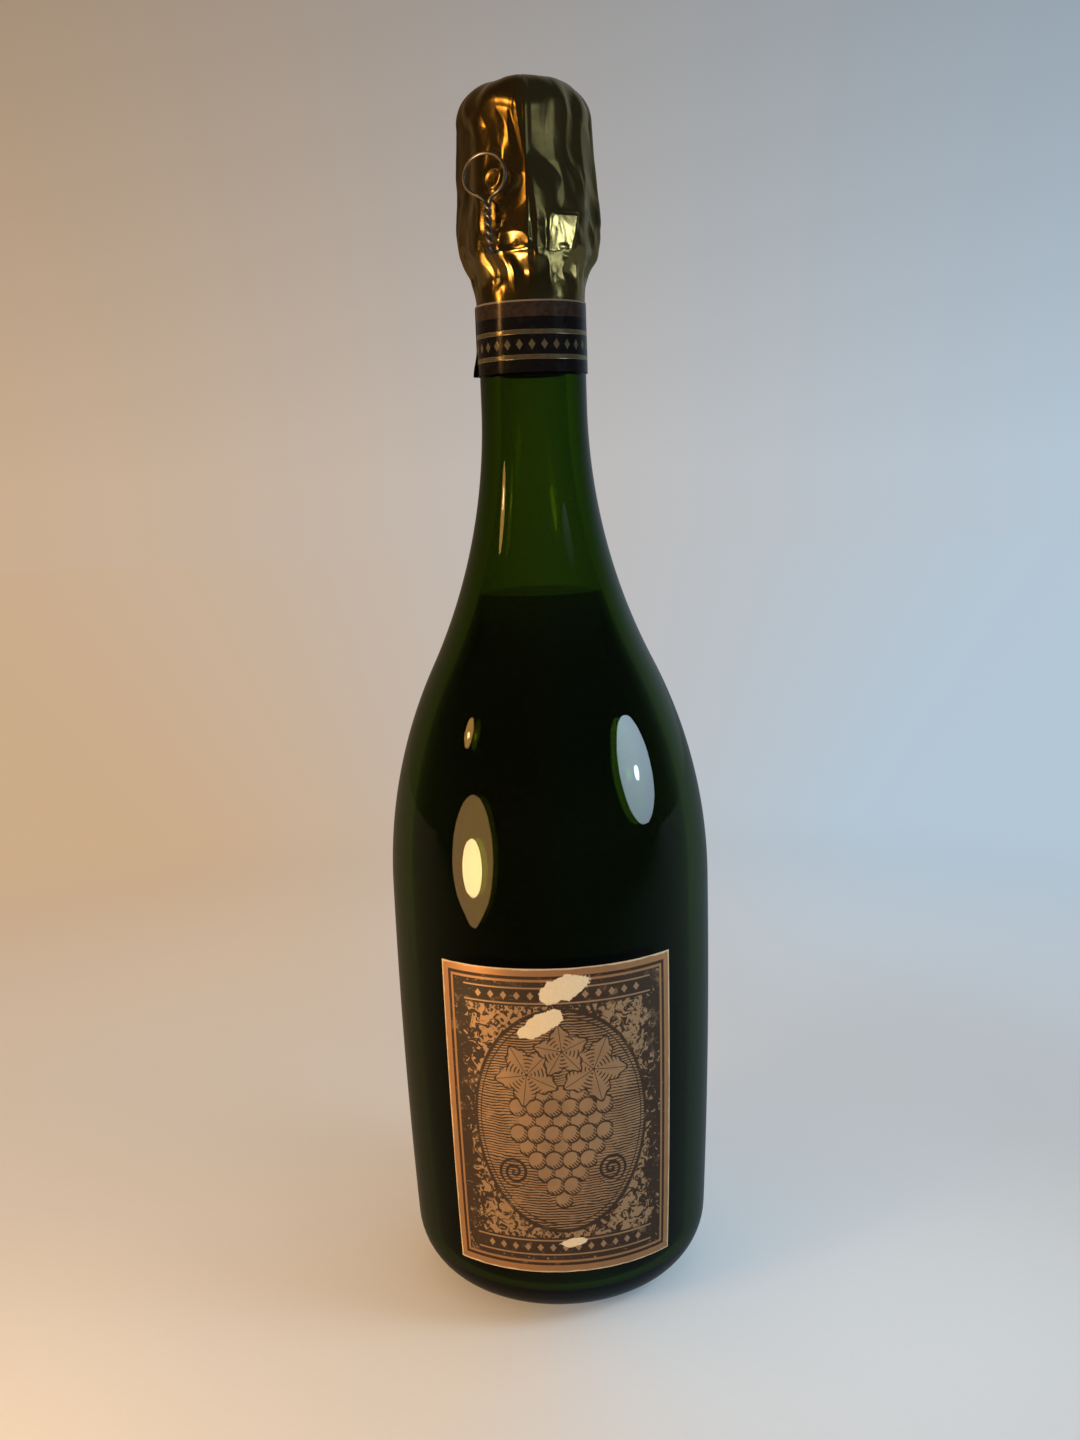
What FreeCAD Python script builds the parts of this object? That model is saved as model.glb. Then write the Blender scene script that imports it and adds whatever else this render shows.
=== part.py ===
import FreeCAD
import Part
import math
import os

import Sketcher
from FreeCAD import Placement, Rotation, Vector

# A corked, wired and foiled 75 cl champagne bottle in millimetres.
# It stands on Z = 0 with its axis on Z and its label towards -Y.

SIZES = {
    # Glass, from the floor up
    "heel_radius": 18.8,
    "body_curve_radius": 1900.0,
    "belly_radius": 45.0,
    "belly_height": 118.0,
    "shoulder_radius": 137.4,
    "neck_height": 249.0,
    "neck_radius": 14.4,
    "mouth_height": 310.2,
    "ring_drop": 20.1,
    "ring_depth": 7.5,
    "ring_radius": 16.2,
    "ring_slope": 0.8,
    "throat_radius": 13.4,
    "lip_depth": 8.0,
    "lip_radius": 14.4,
    "lip_round": 2.2,
    # Glass, inside and underneath
    "wall": 5.2,
    "bore_radius": 9.0,
    "bore_depth": 46.0,
    "mouth_round": 0.8,
    "punt_depth": 26.0,
    "punt_round": 9.0,
    "foot_width": 3.4,
    "base_wall": 7.0,
    "base_round": 8.5,
    # Wine
    "fill_height": 198.5,
    "wine_gap": 0.15,
    # Stopper
    "cork_gap": 0.05,
    "cork_depth": 26.0,
    "disc_depth": 6.0,
    "disc_chamfer": 0.8,
    "head_height": 18.6,
    "head_radius": 14.9,
    "head_round": 7.0,
    "head_seat_radius": 11.6,
    "head_flare": 6.0,
    # Cap
    "cap_sheet": 0.35,
    "cap_gap": 0.05,
    "cap_reach": 4.6,
    "cap_dome_height": 0.9,
    # Wires
    "wire_radius": 0.5,
    "twist_gap": 0.1,
    "wire_gap": 0.15,
    "cage_ring_reach": 1.9,
    "bend_radius": 1.6,
    "leg_gap": 0.35,
    "leg_lift": 20.0,
    "leg_turns": 3,
    "eye_gap": 0.06,
    "eye_tuck": 0.75,
    "loop_azimuth": -30.0,
    "loop_radius": 5.6,
    "loop_fillet": 1.5,
    "loop_half_turns": 5,
    "loop_stem": 8.6,
    "loop_lean": 1.0,
    "loop_lead": 0.8,
    "loop_rise": 0.8,
    # Foil
    "foil_sheet": 0.15,
    "foil_gap": 0.2,
    "tear_gap": 0.3,
    "skirt_flare": 6.0,
    "slit_width": 4.0,
    "slit_dip": 0.2,
    # Paper
    "collar_drop": 34.6,
    "collar_depth": 18.3,
    "collar_sheet": 0.2,
    "collar_cover": 16.6,
    "glue_gap": 0.05,
    "label_bottom": 18.0,
    "label_height": 86.8,
    "label_sweep": 84.0,
    "label_turn": 1.0,
    "label_sheet": 0.2,
}

LEG_COUNT = 4
WIRE_SIDES = 6
HEIGHT = Vector(0, 0, 1)

doc = FreeCAD.newDocument("champagne_bottle")
sheet = doc.addObject("Spreadsheet::Sheet", "sizes")
for row, (alias, amount) in enumerate(SIZES.items(), start=1):
    sheet.set(f"A{row}", alias)
    sheet.set(f"B{row}", str(amount))
    sheet.setAlias(f"B{row}", alias)
doc.recompute()


class Size:
    """A size worked out from the sheet: its value, and the expression that keeps it bound."""

    def __init__(self, value, text):
        self.value = value
        self.text = text

    def __add__(self, other):
        return Size(self.value + other.value, f"({self.text} + {other.text})")

    def __sub__(self, other):
        return Size(self.value - other.value, f"({self.text} - {other.text})")

    def __mul__(self, other):
        return Size(self.value * other.value, f"({self.text} * {other.text})")

    def __truediv__(self, other):
        return Size(self.value / other.value, f"({self.text} / {other.text})")


def size(alias):
    return Size(float(sheet.get(alias)), f"sizes.{alias}")


def root(area):
    return Size(math.sqrt(area.value), f"sqrt({area.text})")


def larger(one, other):
    return Size(max(one.value, other.value), f"max({one.text}; {other.text})")


def touching_normal(run, fall, excess):
    """The outward normal of the line that touches two circles on their outer side.

    The second one lies run outwards and fall down from the first, and is smaller by excess.
    """
    square = run * run + fall * fall
    slide = root(square - excess * excess)
    return (run * excess + fall * slide) / square, (run * slide - fall * excess) / square


ZERO = Size(0.0, "0")
TWO = Size(2.0, "2")


def number(coordinate):
    return coordinate.value if isinstance(coordinate, Size) else coordinate


def flat(point):
    return Vector(number(point[0]), number(point[1]), 0)


class Outline:
    """A chain of lines and arcs in a body's XZ plane, x from the axis and y up.

    A coordinate given as a Size is bound to the sheet. One given as a plain number is only where the
    solver starts from, and the joins settle it.
    """

    def __init__(self, body, name, start):
        plane = next(f for f in body.Origin.OriginFeatures if f.Role == "XZ_Plane")
        self.sketch = body.newObject("Sketcher::SketchObject", name)
        self.sketch.AttachmentSupport = [(plane, "")]
        self.sketch.MapMode = "FlatFace"
        self.start = start
        self.here = start
        self.last = None
        self.first = None

    def bind(self, constraint, expression):
        index = self.sketch.addConstraint(constraint)
        self.sketch.setExpression(f"Constraints[{index}]", expression)

    def place(self, geometry, position, point):
        for kind, axis, coordinate in (("DistanceX", -2, point[0]), ("DistanceY", -1, point[1])):
            if not isinstance(coordinate, Size):
                continue
            if coordinate.text == "0":
                self.sketch.addConstraint(Sketcher.Constraint("PointOnObject", geometry, position, axis))
            elif coordinate.value > 0:
                rule = Sketcher.Constraint(kind, -1, 1, geometry, position, coordinate.value)
                self.bind(rule, coordinate.text)
            else:
                rule = Sketcher.Constraint(kind, geometry, position, -1, 1, -coordinate.value)
                self.bind(rule, f"-{coordinate.text}")

    def join(self, geometry, opening, smooth):
        if self.last is None:
            self.first = (geometry, opening)
            self.place(geometry, opening, self.start)
        else:
            kind = "Tangent" if smooth else "Coincident"
            self.sketch.addConstraint(Sketcher.Constraint(kind, *self.last, geometry, opening))

    def line(self, point, smooth=False):
        index = self.sketch.addGeometry(Part.LineSegment(flat(self.here), flat(point)))
        self.join(index, 1, smooth)
        self.place(index, 2, point)
        self.last = (index, 2)
        self.here = point

    def arc(self, point, centre, radius=None, smooth=False):
        middle, start, end = flat(centre), flat(self.here) - flat(centre), flat(point) - flat(centre)
        anticlockwise = start.x * end.y - start.y * end.x > 0
        angles = [math.atan2(start.y, start.x), math.atan2(end.y, end.x)]
        circle = Part.Circle(middle, HEIGHT, start.Length)
        if not anticlockwise:
            angles.reverse()
        index = self.sketch.addGeometry(Part.ArcOfCircle(circle, *angles))
        opening, closing = (1, 2) if anticlockwise else (2, 1)
        self.join(index, opening, smooth)
        self.place(index, closing, point)
        self.place(index, 3, centre)
        if radius is not None:
            self.bind(Sketcher.Constraint("Radius", index, radius.value), radius.text)
        self.last = (index, closing)
        self.here = point

    def turn_about_height(self, angle):
        """Turns the drawing's plane about Z by an angle in degrees."""
        self.sketch.AttachmentOffset = Placement(Vector(), Rotation(Vector(0, 1, 0), angle))

    def corner(self, point, centre, radius):
        """An arc between two bound points: its radius settles where its middle is."""
        self.arc(point, (number(centre[0]), number(centre[1])), radius)

    def close(self):
        index = self.sketch.addGeometry(Part.LineSegment(flat(self.here), flat(self.start)))
        self.join(index, 1, False)
        self.sketch.addConstraint(Sketcher.Constraint("Coincident", index, 2, *self.first))


def make_body(label):
    body = doc.addObject("PartDesign::Body", label)
    body.Label = label
    return body


def revolve(body, outline, name, kind="PartDesign::Revolution", sweep=None):
    feature = body.newObject(kind, name)
    feature.Profile = outline.sketch
    feature.ReferenceAxis = (outline.sketch, ["V_Axis"])
    feature.Angle = 360
    if sweep is not None:
        feature.setExpression("Angle", sweep.text)
    return feature


# Heights and fits that several pieces share

heel_radius = size("heel_radius")
body_curve = size("body_curve_radius")
belly_radius = size("belly_radius")
belly_height = size("belly_height")
shoulder_radius = size("shoulder_radius")
neck_height = size("neck_height")
neck_radius = size("neck_radius")
mouth = size("mouth_height")
ring_bottom = mouth - size("ring_drop")
ring_top = ring_bottom + size("ring_depth")
ring_radius = size("ring_radius")
wall = size("wall")
bore_radius = size("bore_radius")

cork_top = mouth + size("head_height")
head_radius = size("head_radius")
head_round = size("head_round")
head_flat = head_radius - head_round
head_middle = cork_top - head_round
cap_inner_round = head_round + size("cap_gap")
cap_outer_round = cap_inner_round + size("cap_sheet")

shank_radius = bore_radius - size("cork_gap")
cork_bottom = mouth - size("cork_depth")
disc_depth = size("disc_depth")

wire_radius = size("wire_radius")
twist_radius = wire_radius + size("twist_gap") / TWO
pair_radius = wire_radius + twist_radius
leg_round = cap_outer_round + size("wire_gap") + pair_radius
leg_reach = size("leg_gap") + pair_radius
eye_radius = TWO * wire_radius + size("eye_gap")
belt_height = ring_bottom - size("ring_slope") / TWO - size("wire_gap") - wire_radius - eye_radius
leg_foot_height = ring_bottom + pair_radius * TWO

foil_sheet = size("foil_sheet")
foil_gap = size("foil_gap")
rib_inner = pair_radius + foil_gap
rib_outer = rib_inner + foil_sheet
hood_top = head_middle + leg_round + rib_outer + foil_sheet
collar_top = mouth - size("collar_drop")
foil_end = collar_top - size("collar_cover")
tear_height = belt_height + eye_radius + wire_radius + foil_gap
hood_bottom = tear_height + size("tear_gap")

# A leg runs straight from the cork's head past the upper edge of the ring, and clear of its lower edge.
leg_normal = touching_normal(ring_radius - head_flat, head_middle - ring_top, leg_round - leg_reach)
leg_flare = (leg_round + leg_normal[1] * (head_middle - hood_bottom)) / leg_normal[0]
leg_foot_radius = larger(head_flat + leg_flare, ring_radius + leg_reach)

# The belt lies against the neck, or as far in from the legs as their eyes can reach under the ring.
belt_on_neck = neck_radius + size("wire_gap") + wire_radius + eye_radius
belt_radius = larger(belt_on_neck, leg_foot_radius - size("eye_tuck") - eye_radius)
foil_bulge = leg_foot_radius + wire_radius + foil_gap + foil_sheet
loop_root_radius = foil_bulge + foil_gap + pair_radius
skirt_bulge_foot = belt_height - eye_radius - wire_radius - foil_gap
slit_bottom = belt_height - wire_radius - foil_gap - (loop_root_radius - belt_radius) * size("slit_dip")

# The outer and inner curves of the shoulder are arcs about the same two middles.
drop = belly_radius - neck_radius
rise = neck_height - belly_height
curve_reach = (rise * rise + drop * drop) / (TWO * drop)
neck_curve = curve_reach - shoulder_radius
body_middle = (belly_radius - body_curve, belly_height)
shoulder_middle = (belly_radius - shoulder_radius, belly_height)
neck_middle = (neck_radius + neck_curve, neck_height)

# The punt's cone touches its dome and meets the floor a foot's width inside the heel.
heel_reach = body_curve - heel_radius
heel_rise = belly_height - heel_radius
heel_x = belly_radius - body_curve + root(heel_reach * heel_reach - heel_rise * heel_rise)
foot_inner = heel_x - size("foot_width")
punt_round = size("punt_round")
PUNT_MIDDLE = (ZERO, size("punt_depth") - punt_round)
cone_normal = touching_normal(foot_inner, PUNT_MIDDLE[1], punt_round)
PUNT_NORMAL = (cone_normal[0].value, cone_normal[1].value)
PUNT_SLOPE = math.atan2(*PUNT_NORMAL)


def along(start, end, share):
    """The point at a share of the way from one point to another, as plain numbers."""
    return tuple(number(a) + (number(b) - number(a)) * share for a, b in zip(start, end))


def on_punt(distance):
    """The point of the punt's cone that lies this far from the dome's middle, square to the cone."""
    return PUNT_NORMAL[0] * distance, PUNT_MIDDLE[1].value + PUNT_NORMAL[1] * distance


def draw_punt(outline, dome, smooth):
    """Ends an outline with the punt's cone and dome, up to the axis."""
    outline.line(on_punt(dome.value), smooth)
    slope = Sketcher.Constraint("Angle", outline.last[0], math.pi - PUNT_SLOPE)
    outline.bind(slope, f"180 deg - atan2({cone_normal[0].text}; {cone_normal[1].text})")
    outline.arc((ZERO, PUNT_MIDDLE[1].value + dome.value), PUNT_MIDDLE, dome, smooth=True)
    outline.close()


def draw_glass(body):
    """The outside of the glass, from the middle of the mouth down to the punt."""
    lip_radius = size("lip_radius")
    lip_round = size("lip_round")
    lip_bottom = mouth - size("lip_depth")
    throat_radius = size("throat_radius")
    slope = size("ring_slope")
    turn = along(shoulder_middle, neck_middle, shoulder_radius.value / curve_reach.value)
    heel_middle = (heel_x.value, heel_radius.value)
    heel_top = along(body_middle, heel_middle, body_curve.value / heel_reach.value)

    outline = Outline(body, "glass_outside", (ZERO, mouth))
    outline.line((lip_radius - lip_round, mouth))
    outline.corner((lip_radius, mouth - lip_round), (lip_radius - lip_round, mouth - lip_round), lip_round)
    outline.line((lip_radius, lip_bottom))
    outline.line((throat_radius, lip_bottom - slope))
    outline.line((throat_radius, ring_top + slope))
    outline.line((ring_radius, ring_top))
    outline.line((ring_radius, ring_bottom))
    outline.line((neck_radius, ring_bottom - slope))
    outline.line((neck_radius, neck_height))
    outline.arc(turn, (neck_middle[0].value, neck_height.value), smooth=True)
    belly = (belly_radius, belly_height)
    outline.arc(belly, (shoulder_middle[0].value, belly_height), shoulder_radius, smooth=True)
    outline.arc(heel_top, (body_middle[0].value, belly_height), body_curve)
    outline.arc((heel_x.value, ZERO), heel_middle, heel_radius, smooth=True)
    outline.line((foot_inner.value, ZERO), smooth=True)
    draw_punt(outline, punt_round, smooth=False)
    return outline


def draw_cavity(body, name, clearance, lead):
    """The inside of the glass, less a clearance, below a lead-in that the piece draws itself."""
    thickness = wall + clearance
    dome = punt_round + size("base_wall") + clearance
    moat = size("base_round") - clearance
    outline = lead(body, name, thickness)
    turn = along(shoulder_middle, neck_middle, (shoulder_radius - thickness).value / curve_reach.value)
    outline.arc(turn, neck_middle)
    outline.arc((belly_radius - thickness, belly_height), shoulder_middle, smooth=True)

    # The round at the foot of the inside touches the side wall and the punt's cone.
    arc_reach = body_curve.value - thickness.value - moat.value
    base = on_punt(dome.value + moat.value)
    away = (base[0] - body_middle[0].value, base[1] - body_middle[1].value)
    slide = away[0] * PUNT_NORMAL[1] - away[1] * PUNT_NORMAL[0]
    shift = math.sqrt(slide**2 - away[0] ** 2 - away[1] ** 2 + arc_reach**2) - slide
    middle = (base[0] + PUNT_NORMAL[1] * shift, base[1] - PUNT_NORMAL[0] * shift)
    on_wall = along(body_middle, middle, (body_curve - thickness).value / arc_reach)
    on_cone = (middle[0] - PUNT_NORMAL[0] * moat.value, middle[1] - PUNT_NORMAL[1] * moat.value)
    outline.arc(on_wall, body_middle)
    outline.arc(on_cone, middle, moat, smooth=True)
    draw_punt(outline, dome, smooth=True)
    return outline


def lead_from_mouth(body, name, thickness):
    mouth_round = size("mouth_round")
    opening = bore_radius + mouth_round
    outline = Outline(body, name, (ZERO, mouth))
    outline.line((opening, mouth))
    outline.corner((bore_radius, mouth - mouth_round), (opening, mouth - mouth_round), mouth_round)
    outline.line((bore_radius, mouth - size("bore_depth")))
    outline.line(((neck_radius - thickness).value, neck_height))
    return outline


def lead_from_level(body, name, thickness):
    level = size("fill_height")
    reach = neck_curve.value + thickness.value
    edge = neck_middle[0].value - math.sqrt(reach**2 - (neck_height - level).value ** 2)
    outline = Outline(body, name, (ZERO, level))
    outline.line((edge, level))
    return outline


def make_glass():
    body = make_body("glass_bottle")
    revolve(body, draw_glass(body), "glass_blank")
    inside = draw_cavity(body, "glass_inside", ZERO, lead_from_mouth)
    revolve(body, inside, "glass_cavity", "PartDesign::Groove")
    return body


def make_wine():
    body = make_body("wine")
    section = draw_cavity(body, "wine_section", size("wine_gap"), lead_from_level)
    revolve(body, section, "wine_fill")
    return body


def make_cork_body():
    body = make_body("cork_body")
    outline = Outline(body, "cork_section", (ZERO, cork_top))
    outline.line((head_flat, cork_top))
    outline.corner((head_radius, head_middle), (head_flat, head_middle), head_round)
    outline.line((head_radius, mouth + size("head_flare")))
    outline.line((size("head_seat_radius"), mouth))
    outline.line((shank_radius, mouth))
    outline.line((shank_radius, cork_bottom + disc_depth * TWO))
    outline.line((ZERO, cork_bottom + disc_depth * TWO))
    outline.close()
    revolve(body, outline, "cork_turned")
    return body


def make_cork_disc(label, bottom, chamfer):
    body = make_body(label)
    outline = Outline(body, label + "_section", (ZERO, bottom + disc_depth))
    outline.line((shank_radius, bottom + disc_depth))
    if chamfer is not None:
        outline.line((shank_radius, bottom + chamfer))
        outline.line((shank_radius - chamfer, bottom))
    else:
        outline.line((shank_radius, bottom))
    outline.line((ZERO, bottom))
    outline.close()
    revolve(body, outline, label + "_turned")
    return body


def make_cap():
    body = make_body("metal_cap")
    sheet_depth = size("cap_sheet")
    dome_foot = head_flat + size("cap_dome_height")
    dome_top = cork_top + size("cap_gap") + sheet_depth + size("cap_dome_height")
    rim = head_flat + size("cap_reach")
    middle = (head_flat, head_middle)

    def over_head(x, round_radius):
        """The height of a round that follows the cork's head, at a distance from the axis."""
        return head_middle.value + math.sqrt(round_radius.value**2 - (x - head_flat).value ** 2)

    outline = Outline(body, "cap_section", (ZERO, dome_top))
    outline.line((head_flat, dome_top))
    outline.line((dome_foot, over_head(dome_foot, cap_outer_round)))
    outline.arc((rim, over_head(rim, cap_outer_round)), middle, cap_outer_round)
    outline.line((rim, over_head(rim, cap_inner_round)))
    inner_foot = dome_foot - sheet_depth
    outline.arc((inner_foot, over_head(inner_foot, cap_inner_round)), middle, cap_inner_round)
    outline.line((head_flat - sheet_depth / TWO, dome_top - sheet_depth))
    outline.line((ZERO, dome_top - sheet_depth))
    outline.close()
    revolve(body, outline, "cap_pressed")
    return body


# Bent wire: a tube along arcs that meet in line with each other

def halfway_round(start, way, end):
    """The point halfway round the arc that leaves start along way and ends at end, or None if straight."""
    chord = end - start
    across = chord - way * chord.dot(way)
    if across.Length < 1e-6:
        return None
    across.normalize()
    radius = chord.Length**2 / (2 * chord.dot(across))
    middle = start + across * radius
    halfway = (start + end) * 0.5 - middle
    halfway.normalize()
    return middle + halfway * radius


def edge_through(start, halfway, end):
    curve = Part.LineSegment(start, end) if halfway is None else Part.Arc(start, halfway, end)
    return curve.toShape()


def biarc(start, end):
    """Two edges from one station to the next. A station is a point and the unit way through it."""
    (start_point, start_way), (end_point, end_way) = start, end
    span = end_point - start_point
    push = span.dot(start_way + end_way)
    turn = 2 * (1 - start_way.dot(end_way))
    if turn < 1e-9:
        reach = span.Length**2 / (2 * push)
    else:
        reach = (math.sqrt(push**2 + turn * span.Length**2) - push) / turn
    meeting = (start_point + end_point + (start_way - end_way) * reach) * 0.5
    outward = edge_through(start_point, halfway_round(start_point, start_way, meeting), meeting)
    onward = edge_through(meeting, halfway_round(end_point, end_way * -1, meeting), end_point)
    return [outward, onward]


def stations_on(path, first, last, spans):
    """Evenly spaced stations on a path given as a function of one number."""
    step = (last - first) / spans
    nudge = step * 1e-4
    found = []
    for index in range(spans + 1):
        place = first + step * index
        way = path(place + nudge) - path(place - nudge)
        way.normalize()
        found.append((path(place), way))
    return found


def tube(stations, radius):
    """A wire through the stations, with a section of WIRE_SIDES sides."""
    edges = [edge for start, end in zip(stations, stations[1:]) for edge in biarc(start, end)]
    point, way = stations[0]
    facing = Rotation(HEIGHT, way)
    turns = [2 * math.pi * side / WIRE_SIDES for side in range(WIRE_SIDES + 1)]
    corners = [point + facing.multVec(Vector(math.cos(a), math.sin(a), 0)) * radius for a in turns]
    return Part.Wire(edges).makePipeShell([Part.makePolygon(corners)], True, False), edges


def least_gap(edges, radius):
    """The least gap between stretches of a tube that are three diameters or more apart along it."""
    steps = 6
    samples = []
    travelled = 0.0
    for edge in edges:
        for point in edge.discretize(steps + 1)[:-1]:
            samples.append((travelled, point))
            travelled += edge.Length / steps
    apart = 3 * (2 * radius)
    gaps = [
        (a - b).Length
        for index, (near, a) in enumerate(samples)
        for far, b in samples[index:]
        if far - near > apart
    ]
    return min(gaps) - 2 * radius


def wire_piece(label, shape):
    piece = doc.addObject("Part::Feature", label)
    piece.Label = label
    piece.Shape = shape
    return piece


# The leg's middle line runs over the cap's rim and the cork's shoulder, then straight down to its eye.

HEAD_MIDDLE = Vector(head_flat.value, 0, head_middle.value)
LEG_FOOT = Vector(leg_foot_radius.value, 0, hood_bottom.value)
LEG_DROP = LEG_FOOT - HEAD_MIDDLE

# A leg leaves the cage's ring and turns straight at these angles from the vertical.
RING_SEAT = (cap_outer_round + wire_radius + size("cap_gap")).value
LEG_START = math.asin(size("cage_ring_reach").value / RING_SEAT)
LEG_TURN = math.pi / 2 + math.atan2(-LEG_DROP.z, LEG_DROP.x) - math.acos(leg_round.value / LEG_DROP.Length)
LEG_CORNER = HEAD_MIDDLE + Vector(math.sin(LEG_TURN), 0, math.cos(LEG_TURN)) * leg_round.value


def leg_line():
    """The leg's middle line, as a function of the way travelled along it, and its length."""
    begin = LEG_START + size("bend_radius").value / RING_SEAT
    lift = leg_round.value - RING_SEAT
    lifted = math.radians(size("leg_lift").value)
    arc_length = leg_round.value * (LEG_TURN - begin)
    down = LEG_FOOT - LEG_CORNER
    twisted_share = (LEG_CORNER.z - leg_foot_height.value) / (LEG_CORNER.z - LEG_FOOT.z)
    down_length = down.Length * twisted_share
    down.normalize()

    def middle(travel):
        if travel < arc_length:
            angle = begin + (LEG_TURN - begin) * travel / arc_length
            share = min(1.0, max(0.0, (angle - LEG_START) / lifted))
            normal = Vector(math.sin(angle), 0, math.cos(angle))
            return HEAD_MIDDLE + normal * (RING_SEAT + lift * share), normal
        normal = Vector(math.sin(LEG_TURN), 0, math.cos(LEG_TURN))
        return LEG_CORNER + down * (travel - arc_length), normal

    return middle, arc_length + down_length


def cage_quarter():
    """One leg of the cage: from the ring down one strand, through the eye and up the other strand."""
    middle, length = leg_line()
    turns = int(size("leg_turns").value)
    side = twist_radius.value
    ring = (head_flat + size("cage_ring_reach")).value
    ring_height = head_middle.value + RING_SEAT * math.cos(LEG_START)
    spread = (side + size("bend_radius").value) / ring
    eye = eye_radius.value
    belt = Vector(belt_radius.value, 0, belt_height.value)

    def strand(start):
        def path(travel):
            point, normal = middle(travel)
            angle = start - 2 * math.pi * turns * travel / length
            return point + Vector(0, math.cos(angle), 0) * side + normal * math.sin(angle) * side

        return path

    def round_ring(angle):
        return Vector(ring * math.cos(angle), ring * math.sin(angle), ring_height)

    def round_eye(angle):
        shift = side * (angle / math.pi - 1)
        return belt + Vector(eye * math.cos(angle), shift, -eye * math.sin(angle))

    half_way = math.pi / LEG_COUNT
    quarter_turns = 4 * turns
    stations = stations_on(round_ring, -half_way, -spread, spans=1)
    stations += stations_on(strand(math.pi), 0, length, spans=quarter_turns)
    stations += stations_on(round_eye, 0, 1.5 * math.pi, spans=3)
    stations += stations_on(strand(0), length, 0, spans=quarter_turns)
    stations += stations_on(round_ring, spread, half_way, spans=1)
    return tube(stations, wire_radius.value)


def make_cage():
    quarter, edges = cage_quarter()
    print("cage wire: least gap to itself", round(least_gap(edges, wire_radius.value), 3))
    legs = []
    for index in range(LEG_COUNT):
        leg = quarter.copy()
        leg.rotate(Vector(), HEIGHT, 360 / LEG_COUNT * index)
        legs.append(leg)
    return wire_piece("wire_cage", legs[0].multiFuse(legs[1:]))


# The belt and the loop are drawn with the loop's foot over +X and then turned to where it stands.

LOOP_TURN = size("loop_azimuth").value - 90
LOOP_ROOT = Vector(loop_root_radius.value, 0, (belt_height + size("loop_rise")).value)
LOOP_LEAN = math.radians(size("loop_lean").value)
LOOP_WAY = Vector(math.sin(LOOP_LEAN), 0, math.cos(LOOP_LEAN))
LOOP_NORMAL = Vector(math.cos(LOOP_LEAN), 0, -math.sin(LOOP_LEAN))
SIDEWAYS = Vector(0, 1, 0)


def make_belt():
    """The wire round the neck. Its two ends come together and turn up at the foot of the loop."""
    belt = belt_radius.value
    side = SIDEWAYS * twist_radius.value
    spread = (twist_radius.value + size("bend_radius").value) / belt

    def round_neck(angle):
        return Vector(belt * math.cos(angle), belt * math.sin(angle), belt_height.value)

    stations = [(LOOP_ROOT + side, LOOP_WAY * -1)]
    stations += stations_on(round_neck, spread, 2 * math.pi - spread, spans=4)
    stations += [(LOOP_ROOT - side, LOOP_WAY)]
    shape = tube(stations, wire_radius.value)[0]
    shape.rotate(Vector(), HEIGHT, LOOP_TURN)
    return wire_piece("wire_belt", shape)


def make_loop():
    """The twisted stem and the ring of the loop: up one strand, round the ring and down the other."""
    side = twist_radius.value
    ring = size("loop_radius").value
    fillet = size("loop_fillet").value
    lead = size("loop_lead").value
    stem = size("loop_stem").value
    half_turns = int(size("loop_half_turns").value)
    crossed = -1 if half_turns % 2 else 1
    twist_end = lead + stem
    ring_start = twist_end + lead
    ring_middle = ring_start + math.sqrt((fillet + ring) ** 2 - (side + fillet) ** 2)
    shut = math.asin((side + fillet) / (fillet + ring))

    def at(across, up):
        return LOOP_ROOT + SIDEWAYS * across + LOOP_WAY * up

    def strand(start):
        def path(up):
            angle = start + math.pi * half_turns * (up - lead) / stem
            return at(side * math.cos(angle), up) + LOOP_NORMAL * side * math.sin(angle)

        return path

    def round_ring(angle):
        return at(-crossed * ring * math.sin(angle), ring_middle - ring * math.cos(angle))

    first = strand(math.pi)
    second = strand(0)
    quarter_turns = 2 * half_turns
    stations = [(first(lead) - LOOP_WAY * lead, LOOP_WAY)]
    stations += stations_on(first, lead, twist_end, spans=quarter_turns)
    stations += [(at(-crossed * side, ring_start), LOOP_WAY)]
    stations += stations_on(round_ring, shut, 2 * math.pi - shut, spans=4)
    stations += [(at(crossed * side, ring_start), LOOP_WAY * -1)]
    stations += stations_on(second, twist_end, lead, spans=quarter_turns)
    stations += [(second(lead) - LOOP_WAY * lead, LOOP_WAY * -1)]
    shape, edges = tube(stations, wire_radius.value)
    print("loop wire: least gap to itself", round(least_gap(edges, wire_radius.value), 3))
    shape.rotate(Vector(), HEIGHT, LOOP_TURN)
    return wire_piece("wire_loop", shape)


# The foil is a turned sheet with a rib pushed out over each leg of the cage.

def add_ribs(body, kind, name, spine, edges, height, radius):
    """Runs a round section up a spine and repeats it over every leg."""
    plane = next(f for f in body.Origin.OriginFeatures if f.Role == "XY_Plane")
    upright = next(f for f in body.Origin.OriginFeatures if f.Role == "Z_Axis")
    section = body.newObject("Sketcher::SketchObject", name + "_section")
    section.AttachmentSupport = [(plane, "")]
    section.MapMode = "FlatFace"
    section.setExpression("AttachmentOffset.Base.z", height.text)
    section.addGeometry(Part.Circle(Vector(leg_foot_radius.value, 0, 0), HEIGHT, radius.value))
    section.addConstraint(Sketcher.Constraint("PointOnObject", 0, 3, -1))
    offset = section.addConstraint(Sketcher.Constraint("DistanceX", -1, 1, 0, 3, leg_foot_radius.value))
    section.setExpression(f"Constraints[{offset}]", leg_foot_radius.text)
    width = section.addConstraint(Sketcher.Constraint("Radius", 0, radius.value))
    section.setExpression(f"Constraints[{width}]", radius.text)
    pipe = body.newObject(kind, name)
    pipe.Profile = section
    pipe.Spine = (spine.sketch, edges)
    doc.recompute()
    pattern = body.newObject("PartDesign::PolarPattern", name + "_pattern")
    pattern.Originals = [pipe]
    pattern.Axis = (upright, [""])
    pattern.Angle = 360
    pattern.Occurrences = LEG_COUNT
    body.Tip = pattern


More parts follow.
